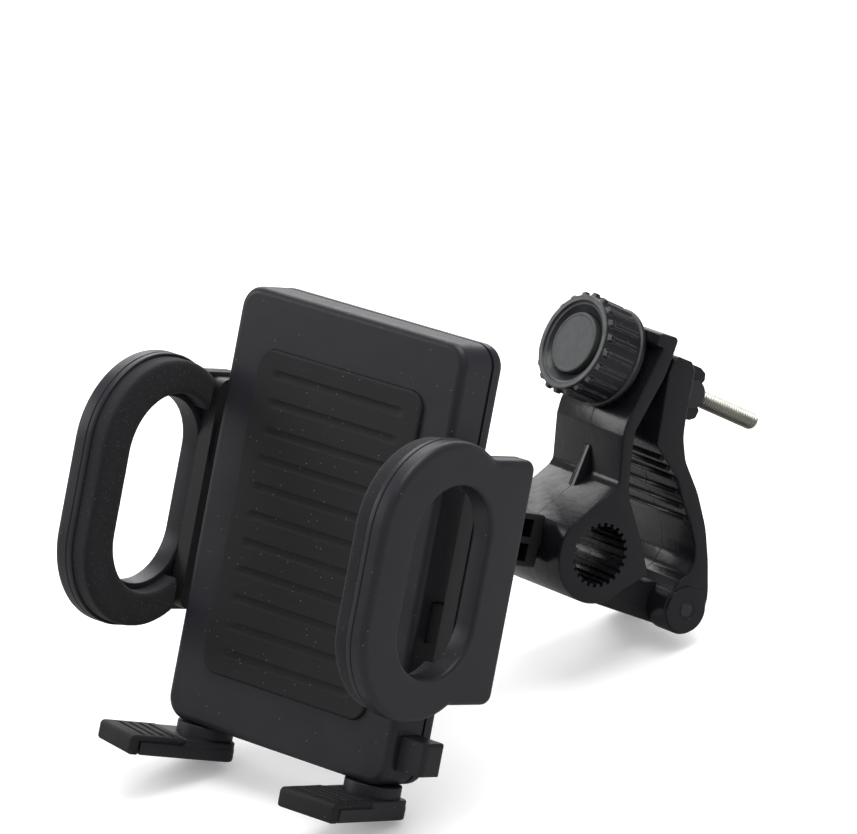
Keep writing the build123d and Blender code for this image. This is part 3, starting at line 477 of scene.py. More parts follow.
def side_matte(material, axis, matte):
    """Flat sides that face along the axis take a matte value in place of the gloss."""
    tree = material.node_tree
    gloss = tree.nodes["Principled BSDF"].inputs["Roughness"]
    mask = facing_mask(tree, axis)
    mix = add(tree, "Mix", mask, None, gloss.links[0].from_socket, matte, data_type="FLOAT")
    tree.links.new(mix.outputs[0], gloss)


def parting_line(material, origin, axis, width=0.00016, height=0.00005):
    """A fine raised line where the mould's halves met: the plane through the origin, square to the axis."""
    tree = material.node_tree
    normal = tree.nodes["Principled BSDF"].inputs["Normal"]
    where = add(tree, "TexCoord").outputs["Object"]
    along = add(tree, "VectorMath", where, tuple(axis), operation="DOT_PRODUCT")
    off = add(tree, "Math", along.outputs["Value"], float(np.dot(origin, axis)), operation="SUBTRACT")
    away = add(tree, "Math", off.outputs[0], operation="ABSOLUTE")
    ridge = add(tree, "MapRange", Value=away.outputs[0], From_Min=width, From_Max=0.0).outputs["Result"]
    below = normal.links[0].from_socket
    lift = add(tree, "Bump", Strength=1.0, Distance=height, Height=ridge, Normal=below)
    tree.links.new(lift.outputs["Normal"], normal)


def paler_facing_axis(material, axis, pale):
    """Paler where the surface faces along the axis, in uneven patches towards the pale colour."""
    tree = material.node_tree
    base = tree.nodes["Principled BSDF"].inputs["Base Color"]
    where = add(tree, "TexCoord").outputs["Object"]
    patches = add(tree, "TexNoise", Vector=where, Scale=420.0, Detail=5.0, Roughness=0.7).outputs["Fac"]
    spread = add(tree, "MapRange", Value=patches, From_Min=0.3, From_Max=0.75, To_Min=0.45)
    mask = facing_mask(tree, axis, 0.6, 0.97)
    share = add(tree, "Math", mask, spread.outputs["Result"], operation="MULTIPLY")
    mixed = mix_colours(tree, share.outputs[0], base.links[0].from_socket, pale)
    tree.links.new(mixed, base)


FINISH = {}


def make_finishes(colours):
    """Every finish on the object, from the panel's colours."""
    black, clamp, foam = tuple(colours.plastic), tuple(colours.clamp), tuple(colours.foam)
    rubber, steel = tuple(colours.rubber), tuple(colours.steel)
    FINISH["satin"] = moulded("satin_black_plastic", black, (0.36, 0.5), 2600, 0.000010, 0.00004, 1.5, 0.004)
    FINISH["clamp"] = moulded("gloss_black_nylon", clamp, (0.2, 0.3), 1500, 0.000004, 0.00016, 1.3, 0.0)
    side_matte(FINISH["clamp"], ACROSS, 0.5)
    parting_line(FINISH["clamp"], CLAMP.origin, ACROSS)
    FINISH["stem"] = moulded(
        "stem_black_nylon", tuple(c * 0.7 for c in clamp), (0.42, 0.55), 1500, 0.000006, 0.0001, 1.2,
    )
    FINISH["knob"] = moulded("knob_black_plastic", clamp, (0.3, 0.45), 2200, 0.000012, 0.00004, 1.5, 0.01, 1.3)
    FINISH["cap"] = moulded(
        "knob_cap_plastic", tuple(colours.cap), (0.42, 0.6), 1500, 0.00003, 0.00006, 1.9, 0.02,
    )
    # The faces of the knob and of its cap that face along the knob's axis are made paler, in uneven patches.
    paler_facing_axis(FINISH["knob"], ALONG, (0.11, 0.115, 0.118))
    paler_facing_axis(FINISH["cap"], ALONG, (0.085, 0.09, 0.092))
    FINISH["foam"] = moulded(
        "eva_foam", foam, (0.85, 1.0), 3000, 0.00011, 0.0, 2.6, 0.05, pale=(0.07, 0.07, 0.074),
        Sheen_Weight=0.1, Sheen_Roughness=0.6, Specular_IOR_Level=0.2,
    )
    FINISH["rubber"] = moulded("moulded_rubber", rubber, (0.62, 0.78), 2400, 0.00003, 0.00005, 1.6, 0.01)
    FINISH["nylon"] = moulded("black_nylon", tuple(colours.nylon), (0.38, 0.52), 2000, 0.000012, 0.00003, 1.5)
    FINISH["steel"] = moulded("zinc_plated_steel", steel, (0.3, 0.5), 1800, 0.000006, 0.0, 1.15, Metallic=1.0)
    FINISH["dark_metal"] = moulded(
        "blackened_steel", tuple(colours.dark_metal), (0.32, 0.5), 1800, 0.000008, 0.0, 1.5, Metallic=0.9
    )


# ---------------------------------------------------------------- sizes and colours
class MountSizes(bpy.types.PropertyGroup):
    arm_edge: FloatProperty(name="Arm edge", description="Radius of the arm shells' outer edge", default=1.6)
    hole_edge: FloatProperty(name="Hole edge", description="Radius round the arms' long holes", default=0.9)
    foam_edge: FloatProperty(name="Foam edge", description="Radius of the foam pads' edges", default=0.9)
    clamp_edge: FloatProperty(name="Clamp edge", description="Radius of the clamp's long edges", default=0.55)
    rib_height: FloatProperty(name="Rib height", description="How far the knob's ribs stand out", default=0.75)
    key_light: FloatProperty(name="Key light", description="Power of the sweep light behind", default=7.0, unit="POWER")
    surround: FloatProperty(name="Surround", description="Brightness of the light tent", default=1.0)


def colour(label, text, value):
    return FloatVectorProperty(name=label, description=text, default=value, subtype="COLOR", size=3, min=0, max=1)


class MountColours(bpy.types.PropertyGroup):
    plastic: colour("Plastic", "Cradle, arms and feet", (0.0135, 0.0125, 0.0175))
    clamp: colour("Clamp", "Clamp jaws and knob", (0.0075, 0.0069, 0.0098))
    cap: colour("Knob cap", "Disc in the middle of the knob", (0.03, 0.031, 0.032))
    foam: colour("Foam", "Pads on the arms", (0.0065, 0.006, 0.0075))
    rubber: colour("Rubber", "Back pad and foot caps", (0.009, 0.0086, 0.0105))
    nylon: colour("Nylon", "Racks, pinion, pawl and ball seat", (0.014, 0.014, 0.016))
    steel: colour("Steel", "Bolt, screws and springs", (0.54, 0.53, 0.48))
    dark_metal: colour("Dark metal", "Barrel nut", (0.06, 0.06, 0.065))


def sizes():
    return bpy.context.scene.mount_sizes


class MountOperator(bpy.types.Operator):
    bl_options = {"REGISTER", "UNDO"}

    def execute(self, context):
        self.build()
        return {"FINISHED"}


# ---------------------------------------------------------------- cradle
SIDES = (("right", 1), ("left", -1))
RAYS = np.linspace(0, 2 * math.pi, 360, endpoint=False)
MIDDLE = (HOLE_Y, ARM_MID)


def box_loop(y0, y1, z0, z1, radius):
    return rounded([(y0, z0), (y1, z0), (y1, z1), (y0, z1)], radius, 0.06)


def arm_outlines(rear):
    """The arm's edge, its foam bed as far back as rear, the bed round the hole, and the hole, on the same rays."""
    meet = math.asin(16 / 19.5)
    low_c, high_c = (-0.2, ARM_MID + 10.0), (0.5, ARM_MID + 10.0)
    top = arc(low_c, 19.5, 180, 90, 30) + arc(high_c, 19.5, 90, math.degrees(meet) + 2.5, 22)
    top += [(0.5 + 19.5 * math.cos(meet), ARM_MID + 26.0, 1.2), (25.0, ARM_MID + 26.0, 2.4)]
    edge = rounded(top + [(y, 2 * ARM_MID - z, r) for y, z, r in reversed(top)], 0, 0.06)
    end = math.degrees(math.acos((rear - 0.5) / 18.9))
    top = arc(low_c, 18.9, 180, 90, 30) + arc(high_c, 18.9, 90, end, 20)
    bed = np.array([(y, z) for y, z, _ in top + [(y, 2 * ARM_MID - z, r) for y, z, r in reversed(top)]])
    hole = box_loop(HOLE_Y - 11.7, HOLE_Y + 11.7, ARM_MID - 20.3, ARM_MID + 20.3, 11.69)
    lip = box_loop(HOLE_Y - 12.9, HOLE_Y + 12.9, ARM_MID - 21.5, ARM_MID + 21.5, 12.89)
    return [anticlockwise(by_rays(loop, MIDDLE, RAYS)) for loop in (edge, bed, lip, hole)]


def ring_piece(name, rows, side):
    """Closed rings stacked into one surface: each row is (outline, inset, x), and the last joins the first."""
    points = np.concatenate([
        np.column_stack([np.full(len(loop), side * x), inset(loop, d)]) for loop, d, x in rows
    ])
    return new_object(name, CRADLE.place(points), lattice(len(rows), len(rows[0][0]), close_rows=True))


class MOUNT_OT_arms(MountOperator):
    """Both arm shells: rings from the foam's bed over the rounded edge, across the face and through the hole"""
    bl_idname = "mount.arms"
    bl_label = "Arm shells"

    def build(self):
        edge, bed, lip, hole = arm_outlines(16.0)
        r, h = sizes().arm_edge, sizes().hole_edge
        rows = [(bed, 0, SHELL_IN + 0.8), (bed, 0, SHELL_IN + 0.12), (bed, -0.12, SHELL_IN), (edge, 0.4, SHELL_IN)]
        rows += [(edge, d, SHELL_IN + up) for d, up in quarter(0.4)[1:]]
        rows += [(edge, 0, SHELL_IN + 1.15), (edge, 0.22, SHELL_IN + 1.3), (edge, 0.22, SHELL_IN + 1.45)]
        rows += [(edge, 0, SHELL_IN + 1.6)]
        rows += [(edge, d, SHELL_OUT - up) for d, up in reversed(quarter(r, 7))]
        rows += [(hole, -h - 0.2, SHELL_OUT)]
        rows += [(hole, -d, SHELL_OUT - up) for d, up in quarter(h, 5)]
        rows += [(hole, -d, SHELL_IN + up) for d, up in reversed(quarter(0.3))]
        rows += [(lip, 0.1, SHELL_IN), (lip, 0, SHELL_IN + 0.1), (lip, 0, SHELL_IN + 0.8)]
        for name, side in SIDES:
            obj = ring_piece("arm_shell_" + name, rows, side)
            finish_piece(obj, name + "_arm", FINISH["satin"], ["arm_" + name])


class MOUNT_OT_foam(MountOperator):
    """Both foam pads: a ring whose face bulges by a sixth power of the way across, with a faint uneven skin"""
    bl_idname = "mount.foam"
    bl_label = "Foam pads"

    def build(self):
        _, bed, lip, _ = arm_outlines(19.0)
        outer, inner = inset(bed, 0.1), inset(lip, -0.1)
        back, front, r = SHELL_IN + 0.78, PAD_FACE + 0.1, sizes().foam_edge
        rows = [(outer, 0, back)] + [(outer, 0, x) for x in np.linspace(back - 0.6, front + r, 5)]
        rows += [(outer, d, front + up) for d, up in reversed(quarter(r, 4))]
        for t in np.linspace(0.06, 0.94, 14):
            loop = (1 - t) * inset(outer, r) + t * inset(inner, -r)
            rows.append((loop, 0, front - 0.1 * (1 - (2 * t - 1) ** 6)))
        rows += [(inner, -d, front + up) for d, up in quarter(r, 4)]
        rows += [(inner, 0, x) for x in np.linspace(front + r, back - 0.6, 5)] + [(inner, 0, back)]
        for name, side in SIDES:
            obj = ring_piece("foam_pad_" + name, rows, side)
            self.roughen(obj, side)
            behind = [(11.2, ARM_MID - 40), (40.0, ARM_MID - 40), (40.0, ARM_MID + 40), (11.2, ARM_MID + 40)]
            ends = sorted((side * 30.0, side * 45.0))
            carve(obj, "DIFFERENCE", slab("behind", CRADLE, rounded(behind, 0.1), [], ends[0], ends[1], 0))
            finish_piece(obj, name + "_arm", FINISH["foam"], ["arm_pad_" + name], 60)

    def roughen(self, obj, side):
        """Each point moves by 0.008 mm times a sum of three crossed sines of its place."""
        count = len(obj.data.vertices)
        co = np.zeros(count * 3)
        obj.data.vertices.foreach_get("co", co)
        co = co.reshape(-1, 3)
        k = 2 * math.pi / 0.0037
        wave = sum(np.sin(co @ np.multiply(k, way)) for way in ((1, 0.7, 0.3), (-0.4, 1, 1.3), (0.2, -1.1, 1)))
        co += side * CRADLE.axes[0] * (0.000008 * wave)[:, None]
        obj.data.vertices.foreach_set("co", co.ravel())
        obj.data.update()


class MOUNT_OT_back_pad(MountOperator):
    """The ribbed rubber pad: a rounded rectangle whose height falls in a row of rounded channels"""
    bl_idname = "mount.back_pad"
    bl_label = "Back pad"

    def build(self):
        half_x, half_z, corner, rows, cols = 23.0, 35.0, 4.0, 281, 61
        z = np.linspace(-1, 1, rows) * half_z
        over = np.clip(np.abs(z) - (half_z - corner), 0, corner)
        width = half_x - corner + np.sqrt(np.maximum(corner**2 - over**2, 0.02))
        s = np.sin(np.linspace(-1, 1, cols) * math.pi / 2)
        x = width[:, None] * s
        zz = np.broadcast_to(z[:, None], x.shape)
        rim = np.minimum(width[:, None] - np.abs(x), half_z - np.abs(zz))
        fall = 0.5 * (1 - np.sqrt(np.clip(1 - (1 - np.clip(rim / 0.5, 0, 1)) ** 2, 0, 1)))
        phase = np.abs((zz + 3) % 6 - 3)
        reach = np.clip((18.0 - np.abs(x)) / 1.0, 0, 1) * (np.abs(zz) < 33)
        channel = 0.5 * np.clip(1 - (phase / 1.0) ** 2, 0, 1) ** 0.6 * reach
        front = 9.8 + fall + channel
        face = np.stack([x, front, zz + ARM_MID], -1).reshape(-1, 3)
        back = np.stack([x, np.full_like(x, 11.2), zz + ARM_MID], -1).reshape(-1, 3)
        r, c = np.meshgrid(np.arange(rows - 1), np.arange(cols - 1), indexing="ij")
        a = (r * cols + c).ravel()
        quads = np.stack([a, a + 1, a + cols + 1, a + cols], 1)
        total = rows * cols
        edge = np.concatenate([
            np.arange(cols), np.arange(1, rows) * cols + cols - 1,
            (rows - 1) * cols + np.arange(cols - 2, -1, -1), np.arange(rows - 2, 0, -1) * cols,
        ])
        following = np.roll(edge, -1)
        skirt = np.stack([edge, following, following + total, edge + total], 1)
        faces = quads.tolist() + (quads[:, ::-1] + total).tolist() + skirt.tolist()
        obj = new_object("back_pad_rubber", CRADLE.place(np.vstack([face, back])), faces)
        finish_piece(obj, "cradle", FINISH["rubber"], ["back_pad"], 50)


class MOUNT_OT_feet(MountOperator):
    """Both feet: a rounded plate with a round heel, and a rubber cap over the front"""
    bl_idname = "mount.feet"
    bl_label = "Feet"

    def build(self):
        for name, side, turn in (("right", 1, 2.0), ("left", -1, -20.0)):
            post = CRADLE.at((side * 24.0, 16.2, 0)).turned(turn)
            up = post.at((0, 0, 0), (2, 0, 1))
            plate = slab(
                "foot_plate_" + name, up,
                rounded([(-7.25, -18.6), (7.25, -18.6), (7.25, 5.0, 3.0), (-7.25, 5.0, 3.0)], 0.4),
                [], -80.8, -77.75, 0.5,
            )
            outline = rounded([(-7.13, -8.13), (7.13, -8.13), (7.13, 4.88, 2.9), (-7.13, 4.88, 2.9)], 0.3)
            tread = slab("tread", up, outline, [], -79.0, -76.6, 0.4)
            heel = slab("heel", up, circle((0, 0), 6.1), [], -78.0, -74.1, 0.25)
            pin = slab("pin", up, circle((0, 0), 2.55, 40), [], -75.0, -70.5, 0.3)
            carve(plate, "UNION", tread, heel, pin)
            finish_piece(plate, name + "_foot", FINISH["satin"], ["foot_" + name])
            cap = slab("foot_cap_" + name, post.at((0, 0, 0), (0, 1, 2)),
                       rounded([(-8.3, -76.5), (-8.3, -77.8, 0.1), (-19.0, -77.8, 0.1), (-19.0, -80.8, 0.3),
                                (-21.4, -80.8, 0.9), (-21.4, -76.5, 1.1)], 0.25), [], -7.35, 7.35, 0.45)
            ribs = []
            for y in (-17.6, -15.2, -12.8, -10.4):
                shape = [(y - 0.5, -77.0), (y + 0.5, -77.0), (y + 0.35, -76.2), (y - 0.35, -76.2)]
                ribs.append(slab("rib", post.at((0, 0, 0)), rounded(shape, 0.2), [], -6.0, 6.0, 0.2))
            carve(cap, "UNION", *ribs)
            finish_piece(cap, name + "_foot", FINISH["rubber"], ["foot_pad_" + name])


# ---------------------------------------------------------------- clamp
def spline_bore(count=24, crest=6.35, root=7.1, groove=0.9):
    """Lands on one circle and narrow grooves up to a larger one, as corner points round the bore."""
    corners = []
    for k in range(count):
        a = 2 * math.pi * k / count
        half, part = groove / 2 / crest, math.pi / count
        for r, t in ((crest, -part), (crest, -half), (root, -half * 0.8), (root, half * 0.8), (crest, half)):
            corners.append((r * math.cos(a + t), r * math.sin(a + t)))
    return np.array(corners)


FIXED_OUTLINE = (
    [(-4.8, 11.6, 5.0), (-3.0, 14.4, 1.6), (-2.6, 15.9, 2.0), (-6.3, 25.2, 3.0), (-6.8, 28.4, 8.0),
     (-5.2, 45.9, 0.3),
     (-7.4, 45.9, 0.6), (-7.5, 48.7, 0.9), (-2.2, 49.3, 1.0), (-1.9, 45.2, 4.0), (-1.8, 40.2, 10.0),
     (-3.6, 27.5, 1.2), (-2.6, 23.7, 6.0), (0.1, 16.7, 6.0), (1.8, 13.6, 3.0), (8.8, 6.6, 8.0),
     (14.5, 0.1, 1.0),
     (9.6, -4.9, 0)]
    + arc((0, 0), 10.8, -27, -197, 60)
)
MOVING_OUTLINE = (
    [(-1.3, 44.6, 0.6), (-1.2, 41.3, 2.0), (3.1, 26.5, 2.0), (12.0, 21.6, 4.0), (15.7, 17.7, 8.0),
     (20.4, 13.6, 8.0),
     (23.6, 10.0, 6.0), (24.9, 6.7, 4.0), (24.6, 3.6, 3.0), (22.9, 1.4, 1.6)]
    + arc(HINGE, 5.6, 150, 356, 60)
    + [(32.4, 0.2, 12.0), (31.6, 2.2, 14.0), (28.4, 8.2, 20.0), (24.4, 14.4, 20.0), (18.7, 20.6, 20.0),
       (12.2, 25.8, 9.0), (9.2, 30.3, 9.0), (7.8, 34.5, 8.0), (5.2, 44.3, 1.6), (3.6, 45.8, 0.6),
       (-0.6, 45.7, 0.8)]
)
LINK_OUTLINE = [
    (2.0, -9.0), (6.0, 0.0), (14.2, -0.3, 3), (19.5, -1.6, 3), (22.9, -0.4, 2), (27.4, 1.55, 0),
    *arc(HINGE, 5.25, 84, -95, 30), (9.0, -9.9, 4),
]
RIDGES = ((7.0, 24.4), (9.6, 22.95), (12.2, 21.4), (14.6, 18.9), (17.0, 16.6), (19.4, 14.5))
CHEEK = [(3.0, 45.7), (13.4, 45.9, 1), (15.1, 45.2, 0.8), (15.6, 43.8, 0.8), (14.1, 40.0, 2), (17.3, 37.2, 0.6),
         (17.1, 35.4, 0.6), (15.8, 34.5, 1), (7.0, 33.2)]


class MOUNT_OT_fixed_jaw(MountOperator):
    """The fixed jaw: a profile with rounded rims and a splined bore, joined to its boss, gusset and hinge link"""
    bl_idname = "mount.fixed_jaw"
    bl_label = "Fixed jaw"

    def build(self):
        rim = sizes().clamp_edge
        jaw = slab("fixed_jaw_body", CLAMP, rounded(FIXED_OUTLINE, 0), [], -HALF_CLAMP, HALF_CLAMP, rim)
        across = CLAMP.axes[0]
        way = -STEM_WAY
        boss_frame = Bench(CLAMP.origin, across, way, np.cross(across, way))
        boss = lathe("boss", boss_frame, round_corners(
            [(0, 1.0), (5.1, 1.0), (5.2, 10.9), (5.0, 11.2), (3.5, 11.2), (3.5, 9.9), (2.1, 9.9),
             (2.1, 7.3), (0, 7.3)],
            0.25), 96)
        gusset = rounded([(-5.0, 22.2), (-4.7, 9.0), (0, 9.0), (-2.0, 16.5)], 0.3)
        gusset = slab("gusset", CLAMP, gusset, [], -1.1, 1.1, 0.25)
        link = slab("link", CLAMP, rounded(LINK_OUTLINE, 0), [], -6.0, 6.0, 0.5)
        carve(jaw, "UNION", link, gusset, boss)
        bore = slab("bore", CLAMP, spline_bore(), [], -20, 20, 0)
        mouth = slab("slot", CLAMP, rounded([(-12, 37.6), (2, 37.6), (2, 44.6), (-12, 44.6)], 0.1), [], -2.4, 2.4, 0)
        hole = slab("pin_hole", CLAMP, circle(HINGE, 1.65, 40), [], -20, 20, 0)
        carve(jaw, "DIFFERENCE", bore, mouth, hole)
        finish_piece(jaw, "clamp", FINISH["clamp"], ["fixed_jaw"], 28)


class MOUNT_OT_moving_jaw(MountOperator):
    """The hinged jaw: its profile, six grip ridges, the two nut cheeks and a raised hinge disc on each side"""
    bl_idname = "mount.moving_jaw"
    bl_label = "Moving jaw"

    def build(self):
        rim = sizes().clamp_edge
        jaw = slab("moving_jaw_body", CLAMP, rounded(MOVING_OUTLINE, 0), [], -HALF_CLAMP, HALF_CLAMP, rim)
        ridges = [slab("ridge", CLAMP, circle(at, 0.75, 28), [], -11, 11, 0.3) for at in RIDGES]
        cheeks = [slab("cheek", CLAMP, rounded(CHEEK, 0.5), [], a, a + 1.4, 0.35) for a in (-3.9, 2.5)]
        carve(jaw, "UNION", *ridges, *cheeks)
        room = slab("room", CLAMP, circle(HINGE, 5.72, 96), [], -6.2, 6.2, 0)
        nut = slab("nut_seat", CLAMP, circle((13.9, 40.0), 3.15, 64), [], -6.3, 6.3, 0)
        slot = slab("slot", CLAMP, rounded([(-2.5, 31.3), (9.5, 31.3), (9.5, 47), (-2.5, 47)], 0.1), [], -2.4, 2.4, 0)
        window = rounded([(2.1, 26.4), (5.1, 26.4), (5.1, 28.4), (2.1, 28.4)], 0.3)
        window = slab("window", CLAMP, window, [], -3.5, 3.5, 0)
        hole = slab("pin_hole", CLAMP, circle(HINGE, 1.62, 40), [], -20, 20, 0)
        carve(jaw, "DIFFERENCE", room, nut, slot, window, hole)
        finish_piece(jaw, "jaw", FINISH["clamp"], ["moving_jaw"], 28)
        for tag, side in SIDES:
            order = CLAMP.at((side * HALF_CLAMP, *HINGE))
            face = Bench(order.origin, order.axes[1] * side, order.axes[0] * side, -order.axes[2])
            disc = lathe("hinge_disc_" + tag, face, round_corners(
                [(0, -0.4), (5.15, -0.4), (5.15, 0.55, 0.25), (2.3, 0.55), (2.2, 0.4), (0, 0.4)], 0.12), 96)
            finish_piece(disc, "jaw", FINISH["clamp"], [])


def ramp(v, low, high):
    """0 up to low and 1 from high, rising between them as t squared times (3 - 2t)."""
    t = np.clip((v - low) / (high - low), 0, 1)
    return t * t * (3 - 2 * t)


class MOUNT_OT_knob(MountOperator):
    """The knob: radius = barrel + ribs round it + a lug at each rib's front end; plus its cap"""
    bl_idname = "mount.knob"
    bl_label = "Knob"

    def build(self):
        bench = CLAMP.at((0, 0, BOLT_HEIGHT))
        ribs, per = 20, 20
        count = ribs * per
        a = np.linspace(0, 2 * math.pi, count, endpoint=False)
        phase = np.abs((a * ribs / (2 * math.pi) + 0.5) % 1 - 0.5) * (2 * math.pi / ribs) * 11.0
        bar, lug = ramp(0.72 - phase, 0, 0.22), ramp(0.98 - phase, 0, 0.22)
        face = [(2.2, -16.2), (6.95, -16.2), (7.0, -17.3), (7.2, -17.5), (8.45, -18.35), (8.6, -18.6), (9.05, -18.75),
                (9.2, -18.9), (9.35, -19.2), (9.6, -19.3), (10.25, -19.3), (10.5, -19.2), (10.62, -18.95)]
        y = np.concatenate([np.linspace(-18.85, -17.0, 14), np.linspace(-16.8, -10.2, 18), np.linspace(-10.0, -9.2, 7)])
        along = ramp(y, -18.8, -18.4) * (1 - ramp(y, -10.3, -9.6))
        front = ramp(y, -18.75, -18.45) * (1 - ramp(y, -17.5, -17.1))
        height = sizes().rib_height
        wall = 10.62 + height * 0.62 * along[:, None] * bar + 0.42 * front[:, None] * lug
        rear = [(10.62, -9.1), (10.98, -9.0), (11.1, -8.85), (11.1, -8.3), (10.95, -7.95), (10.6, -7.8), (2.2, -7.8)]
        radii = np.concatenate([
            np.repeat([[r] for r, _ in face], count, 1), wall, np.repeat([[r] for r, _ in rear], count, 1)
        ])
        heights = np.concatenate([[v for _, v in face], y, [v for _, v in rear]])
        grid = np.stack([radii * np.cos(a), np.broadcast_to(heights[:, None], radii.shape), radii * np.sin(a)], -1)
        rows = len(heights)
        knob = new_object("clamp_knob_body", bench.place(grid.reshape(-1, 3)), lattice(rows, count, close_rows=True))
        finish_piece(knob, "knob", FINISH["knob"], ["clamp_knob"], 40)
        cap = lathe("knob_cap_disc", bench, round_corners(
            [(0, -18.85), (5.9, -18.8), (6.2, -18.95, 0.2), (6.8, -18.85, 0.3), (6.85, -16.3), (0, -16.3)], 0.2, 4), 96)
        finish_piece(cap, "knob", FINISH["cap"], ["knob_cap"], 40)


class MOUNT_OT_bolt(MountOperator):
    """The bolt: radius falls by a rounded saw-tooth of (y over the pitch minus the turn), a right-hand thread"""
    bl_idname = "mount.bolt"
    bl_label = "Bolt"

    def build(self):
        bench = CLAMP.at((0, 0, BOLT_HEIGHT))
        pitch, tip, start, count = 0.7, 35.5, -4.0, 40
        y = np.arange(start, tip, pitch / 9)
        a = np.linspace(0, 2 * math.pi, count, endpoint=False)
        tooth = np.abs(((y[:, None] / pitch - a / (2 * math.pi)) % 1) * 2 - 1)
        fade = np.clip((y - start) / 0.8, 0, 1)[:, None]
        end = np.clip((y - (tip - 0.7)) / 0.7, 0, 1)[:, None]
        r = 2.0 - 0.34 * fade * np.clip(1.25 * tooth - 0.12, 0, 1) - 0.5 * end
        thread = np.stack([r * np.cos(a), np.broadcast_to(y[:, None], r.shape), r * np.sin(a)], -1).reshape(-1, 3)
        head = [(3.5, -16.6), (3.6, -16.5), (3.6, -13.7), (3.5, -13.6), (2.0, -13.6), (2.0, -4.1)]
        shank = np.concatenate([np.stack([rr * np.cos(a), np.full(count, yy), rr * np.sin(a)], -1) for rr, yy in head])
        rows = len(head) + len(y)
        obj = capped("clamp_bolt_thread", bench, np.vstack([shank, thread]), rows, count, -16.6, y[-1])
        finish_piece(obj, "knob", FINISH["steel"], ["clamp_bolt"], 60)


class MOUNT_OT_pin(MountOperator):
    """The hinge pin, with a rounded end at each side"""
    bl_idname = "mount.pin"
    bl_label = "Hinge pin"

    def build(self):
        bench = CLAMP.at((0, *HINGE))
        bench = Bench(bench.origin, bench.axes[1], bench.axes[0], -bench.axes[2])
        end = HALF_CLAMP + 0.62
        profile = [(0, -end), (1.6, -end, 0.35), (1.6, end, 0.35), (0, end)]
        pin = lathe("hinge_pin_rod", bench, round_corners(profile, 0.3, 4), 48)
        finish_piece(pin, "jaw", FINISH["dark_metal"], ["hinge_pin"], 50)


# ---------------------------------------------------------------- kept CAD nodes, stage
KEPT = {
    "satin": ["housing_front", "housing_rear", "release_button", "ring_nut", "socket_cup"],
    "stem": ["ball_stem"],
    "steel": [
        "clamp_washer", "stem_screw", "housing_screws", "socket_screws", "arm_screws_left", "arm_screws_right",
        "pinion_axle", "pawl_pin", "arm_spring_left", "arm_spring_right", "button_spring", "foot_clip_left",
        "foot_clip_right",
    ],
    "dark_metal": ["barrel_nut"],
    "nylon": ["ball_seat", "pinion", "pawl", "rack_left", "rack_right"],
}


class MOUNT_OT_kept_nodes(MountOperator):
    """Gives every CAD node that stays in view its finish"""
    bl_idname = "mount.kept_nodes"
    bl_label = "Kept CAD parts"

    def build(self):
        for finish, names in KEPT.items():
            for name in names:
                mesh = NODES[name].data
                mesh.materials.clear()
                mesh.materials.append(FINISH[finish])


class MOUNT_OT_finishes(MountOperator):
    """Makes every material from the panel's colours"""
    bl_idname = "mount.finishes"
    bl_label = "Finishes"

    def build(self):
        make_finishes(bpy.context.scene.mount_colours)


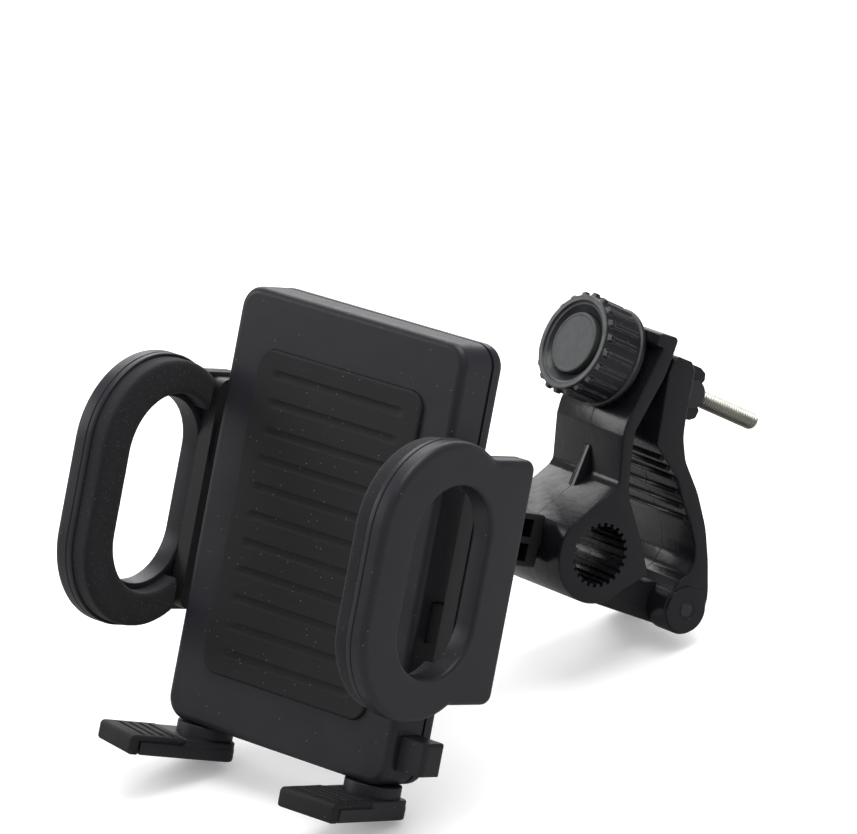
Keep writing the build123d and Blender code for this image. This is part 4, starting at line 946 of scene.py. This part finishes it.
class MOUNT_OT_stage(MountOperator):
    """The pale floor, the light tent, three soft lights and the camera"""
    bl_idname = "mount.stage"
    bl_label = "Stage"

    def build(self):
        scene = bpy.context.scene
        side = 12.0
        corners = [(-side, -side), (side, -side), (side, side), (-side, side)]
        floor = new_object("stage_floor", [(x, y, -0.0295) for x, y in corners], [[0, 1, 2, 3]])
        material, tree, shader = blank("pale_floor", Roughness=0.9, Specular_IOR_Level=0.1)
        path = add(tree, "LightPath")
        seen = path.outputs["Is Camera Ray"]
        tree.links.new(mix_colours(tree, seen, (0.3, 0.3, 0.3), (0.93, 0.93, 0.93)), shader.inputs["Base Color"])
        lift = add(tree, "Math", seen, 0.16, operation="MULTIPLY")
        shader.inputs["Emission Color"].default_value = (1, 1, 1, 1)
        tree.links.new(lift.outputs[0], shader.inputs["Emission Strength"])
        floor.data.materials.append(material)
        world = scene.world or bpy.data.worlds.new("tent")
        scene.world = world
        world.use_nodes = True
        sky = world.node_tree
        path = add(sky, "LightPath")
        glossy, level = path.outputs["Is Glossy Ray"], sizes().surround
        bright = add(sky, "Mix", glossy, None, level, level * 0.2, data_type="FLOAT")
        sky.nodes["Background"].inputs["Color"].default_value = (1, 1, 1, 1)
        sky.links.new(bright.outputs[0], sky.nodes["Background"].inputs["Strength"])
        self.light("back_sweep", (-0.62, 0.66, 0.5), (0, 0, 0), 0.95, sizes().key_light)
        self.light("overhead", (0.05, 0.1, 0.8), (0, -0.02, 0), 0.5, sizes().key_light * 0.45)
        self.light("left_box", (-0.8, -0.45, 0.4), (0, -0.02, 0.01), 0.4, sizes().key_light * 0.25)
        self.camera(scene)
        scene.view_settings.view_transform = "Standard"

    def light(self, name, place, target, size, power):
        data = bpy.data.lights.new(name, "AREA")
        data.energy, data.size = power, size
        obj = bpy.data.objects.new(name, data)
        obj.location = place
        obj.rotation_euler = (Vector(place) - Vector(target)).to_track_quat("Z", "Y").to_euler()
        bpy.context.scene.collection.objects.link(obj)

    def camera(self, scene):
        data = bpy.data.cameras.new("camera")
        data.lens, data.sensor_width = 297.87, 36.0
        data.clip_start, data.clip_end = 0.1, 50
        camera = bpy.data.objects.new("camera", data)
        right = Vector((0.744385, 0.661547, -0.090815))
        up = Vector((-0.224208, 0.375722, 0.899202))
        back = Vector((0.628985, -0.648991, 0.428006))
        turn = Matrix((right, up, back)).transposed().to_4x4()
        camera.matrix_world = Matrix.Translation((0.92764, -1.01608, 0.67734)) @ turn
        scene.collection.objects.link(camera)
        scene.camera = camera


STEPS = (
    MOUNT_OT_finishes, MOUNT_OT_kept_nodes, MOUNT_OT_arms, MOUNT_OT_foam, MOUNT_OT_back_pad, MOUNT_OT_feet,
    MOUNT_OT_fixed_jaw, MOUNT_OT_moving_jaw, MOUNT_OT_knob, MOUNT_OT_bolt, MOUNT_OT_pin, MOUNT_OT_stage,
)


class MOUNT_PT_panel(bpy.types.Panel):
    """Sizes, colours and one button for each step"""
    bl_idname = "MOUNT_PT_panel"
    bl_label = "Phone handlebar mount"
    bl_space_type = "VIEW_3D"
    bl_region_type = "UI"
    bl_category = "Phone mount"

    def draw(self, context):
        for holder in (context.scene.mount_sizes, context.scene.mount_colours):
            for key in holder.__annotations__:
                self.layout.prop(holder, key)
        for step in STEPS:
            self.layout.operator(step.bl_idname)


CLASSES = (MountSizes, MountColours, *STEPS, MOUNT_PT_panel)


def register():
    for cls in CLASSES:
        bpy.utils.register_class(cls)
    bpy.types.Scene.mount_sizes = PointerProperty(type=MountSizes)
    bpy.types.Scene.mount_colours = PointerProperty(type=MountColours)


def unregister():
    del bpy.types.Scene.mount_colours
    del bpy.types.Scene.mount_sizes
    for cls in reversed(CLASSES):
        bpy.utils.unregister_class(cls)


def main():
    register()
    for step in STEPS:
        area, name = step.bl_idname.split(".")
        getattr(getattr(bpy.ops, area), name)()


if __name__ == "__main__":
    main()
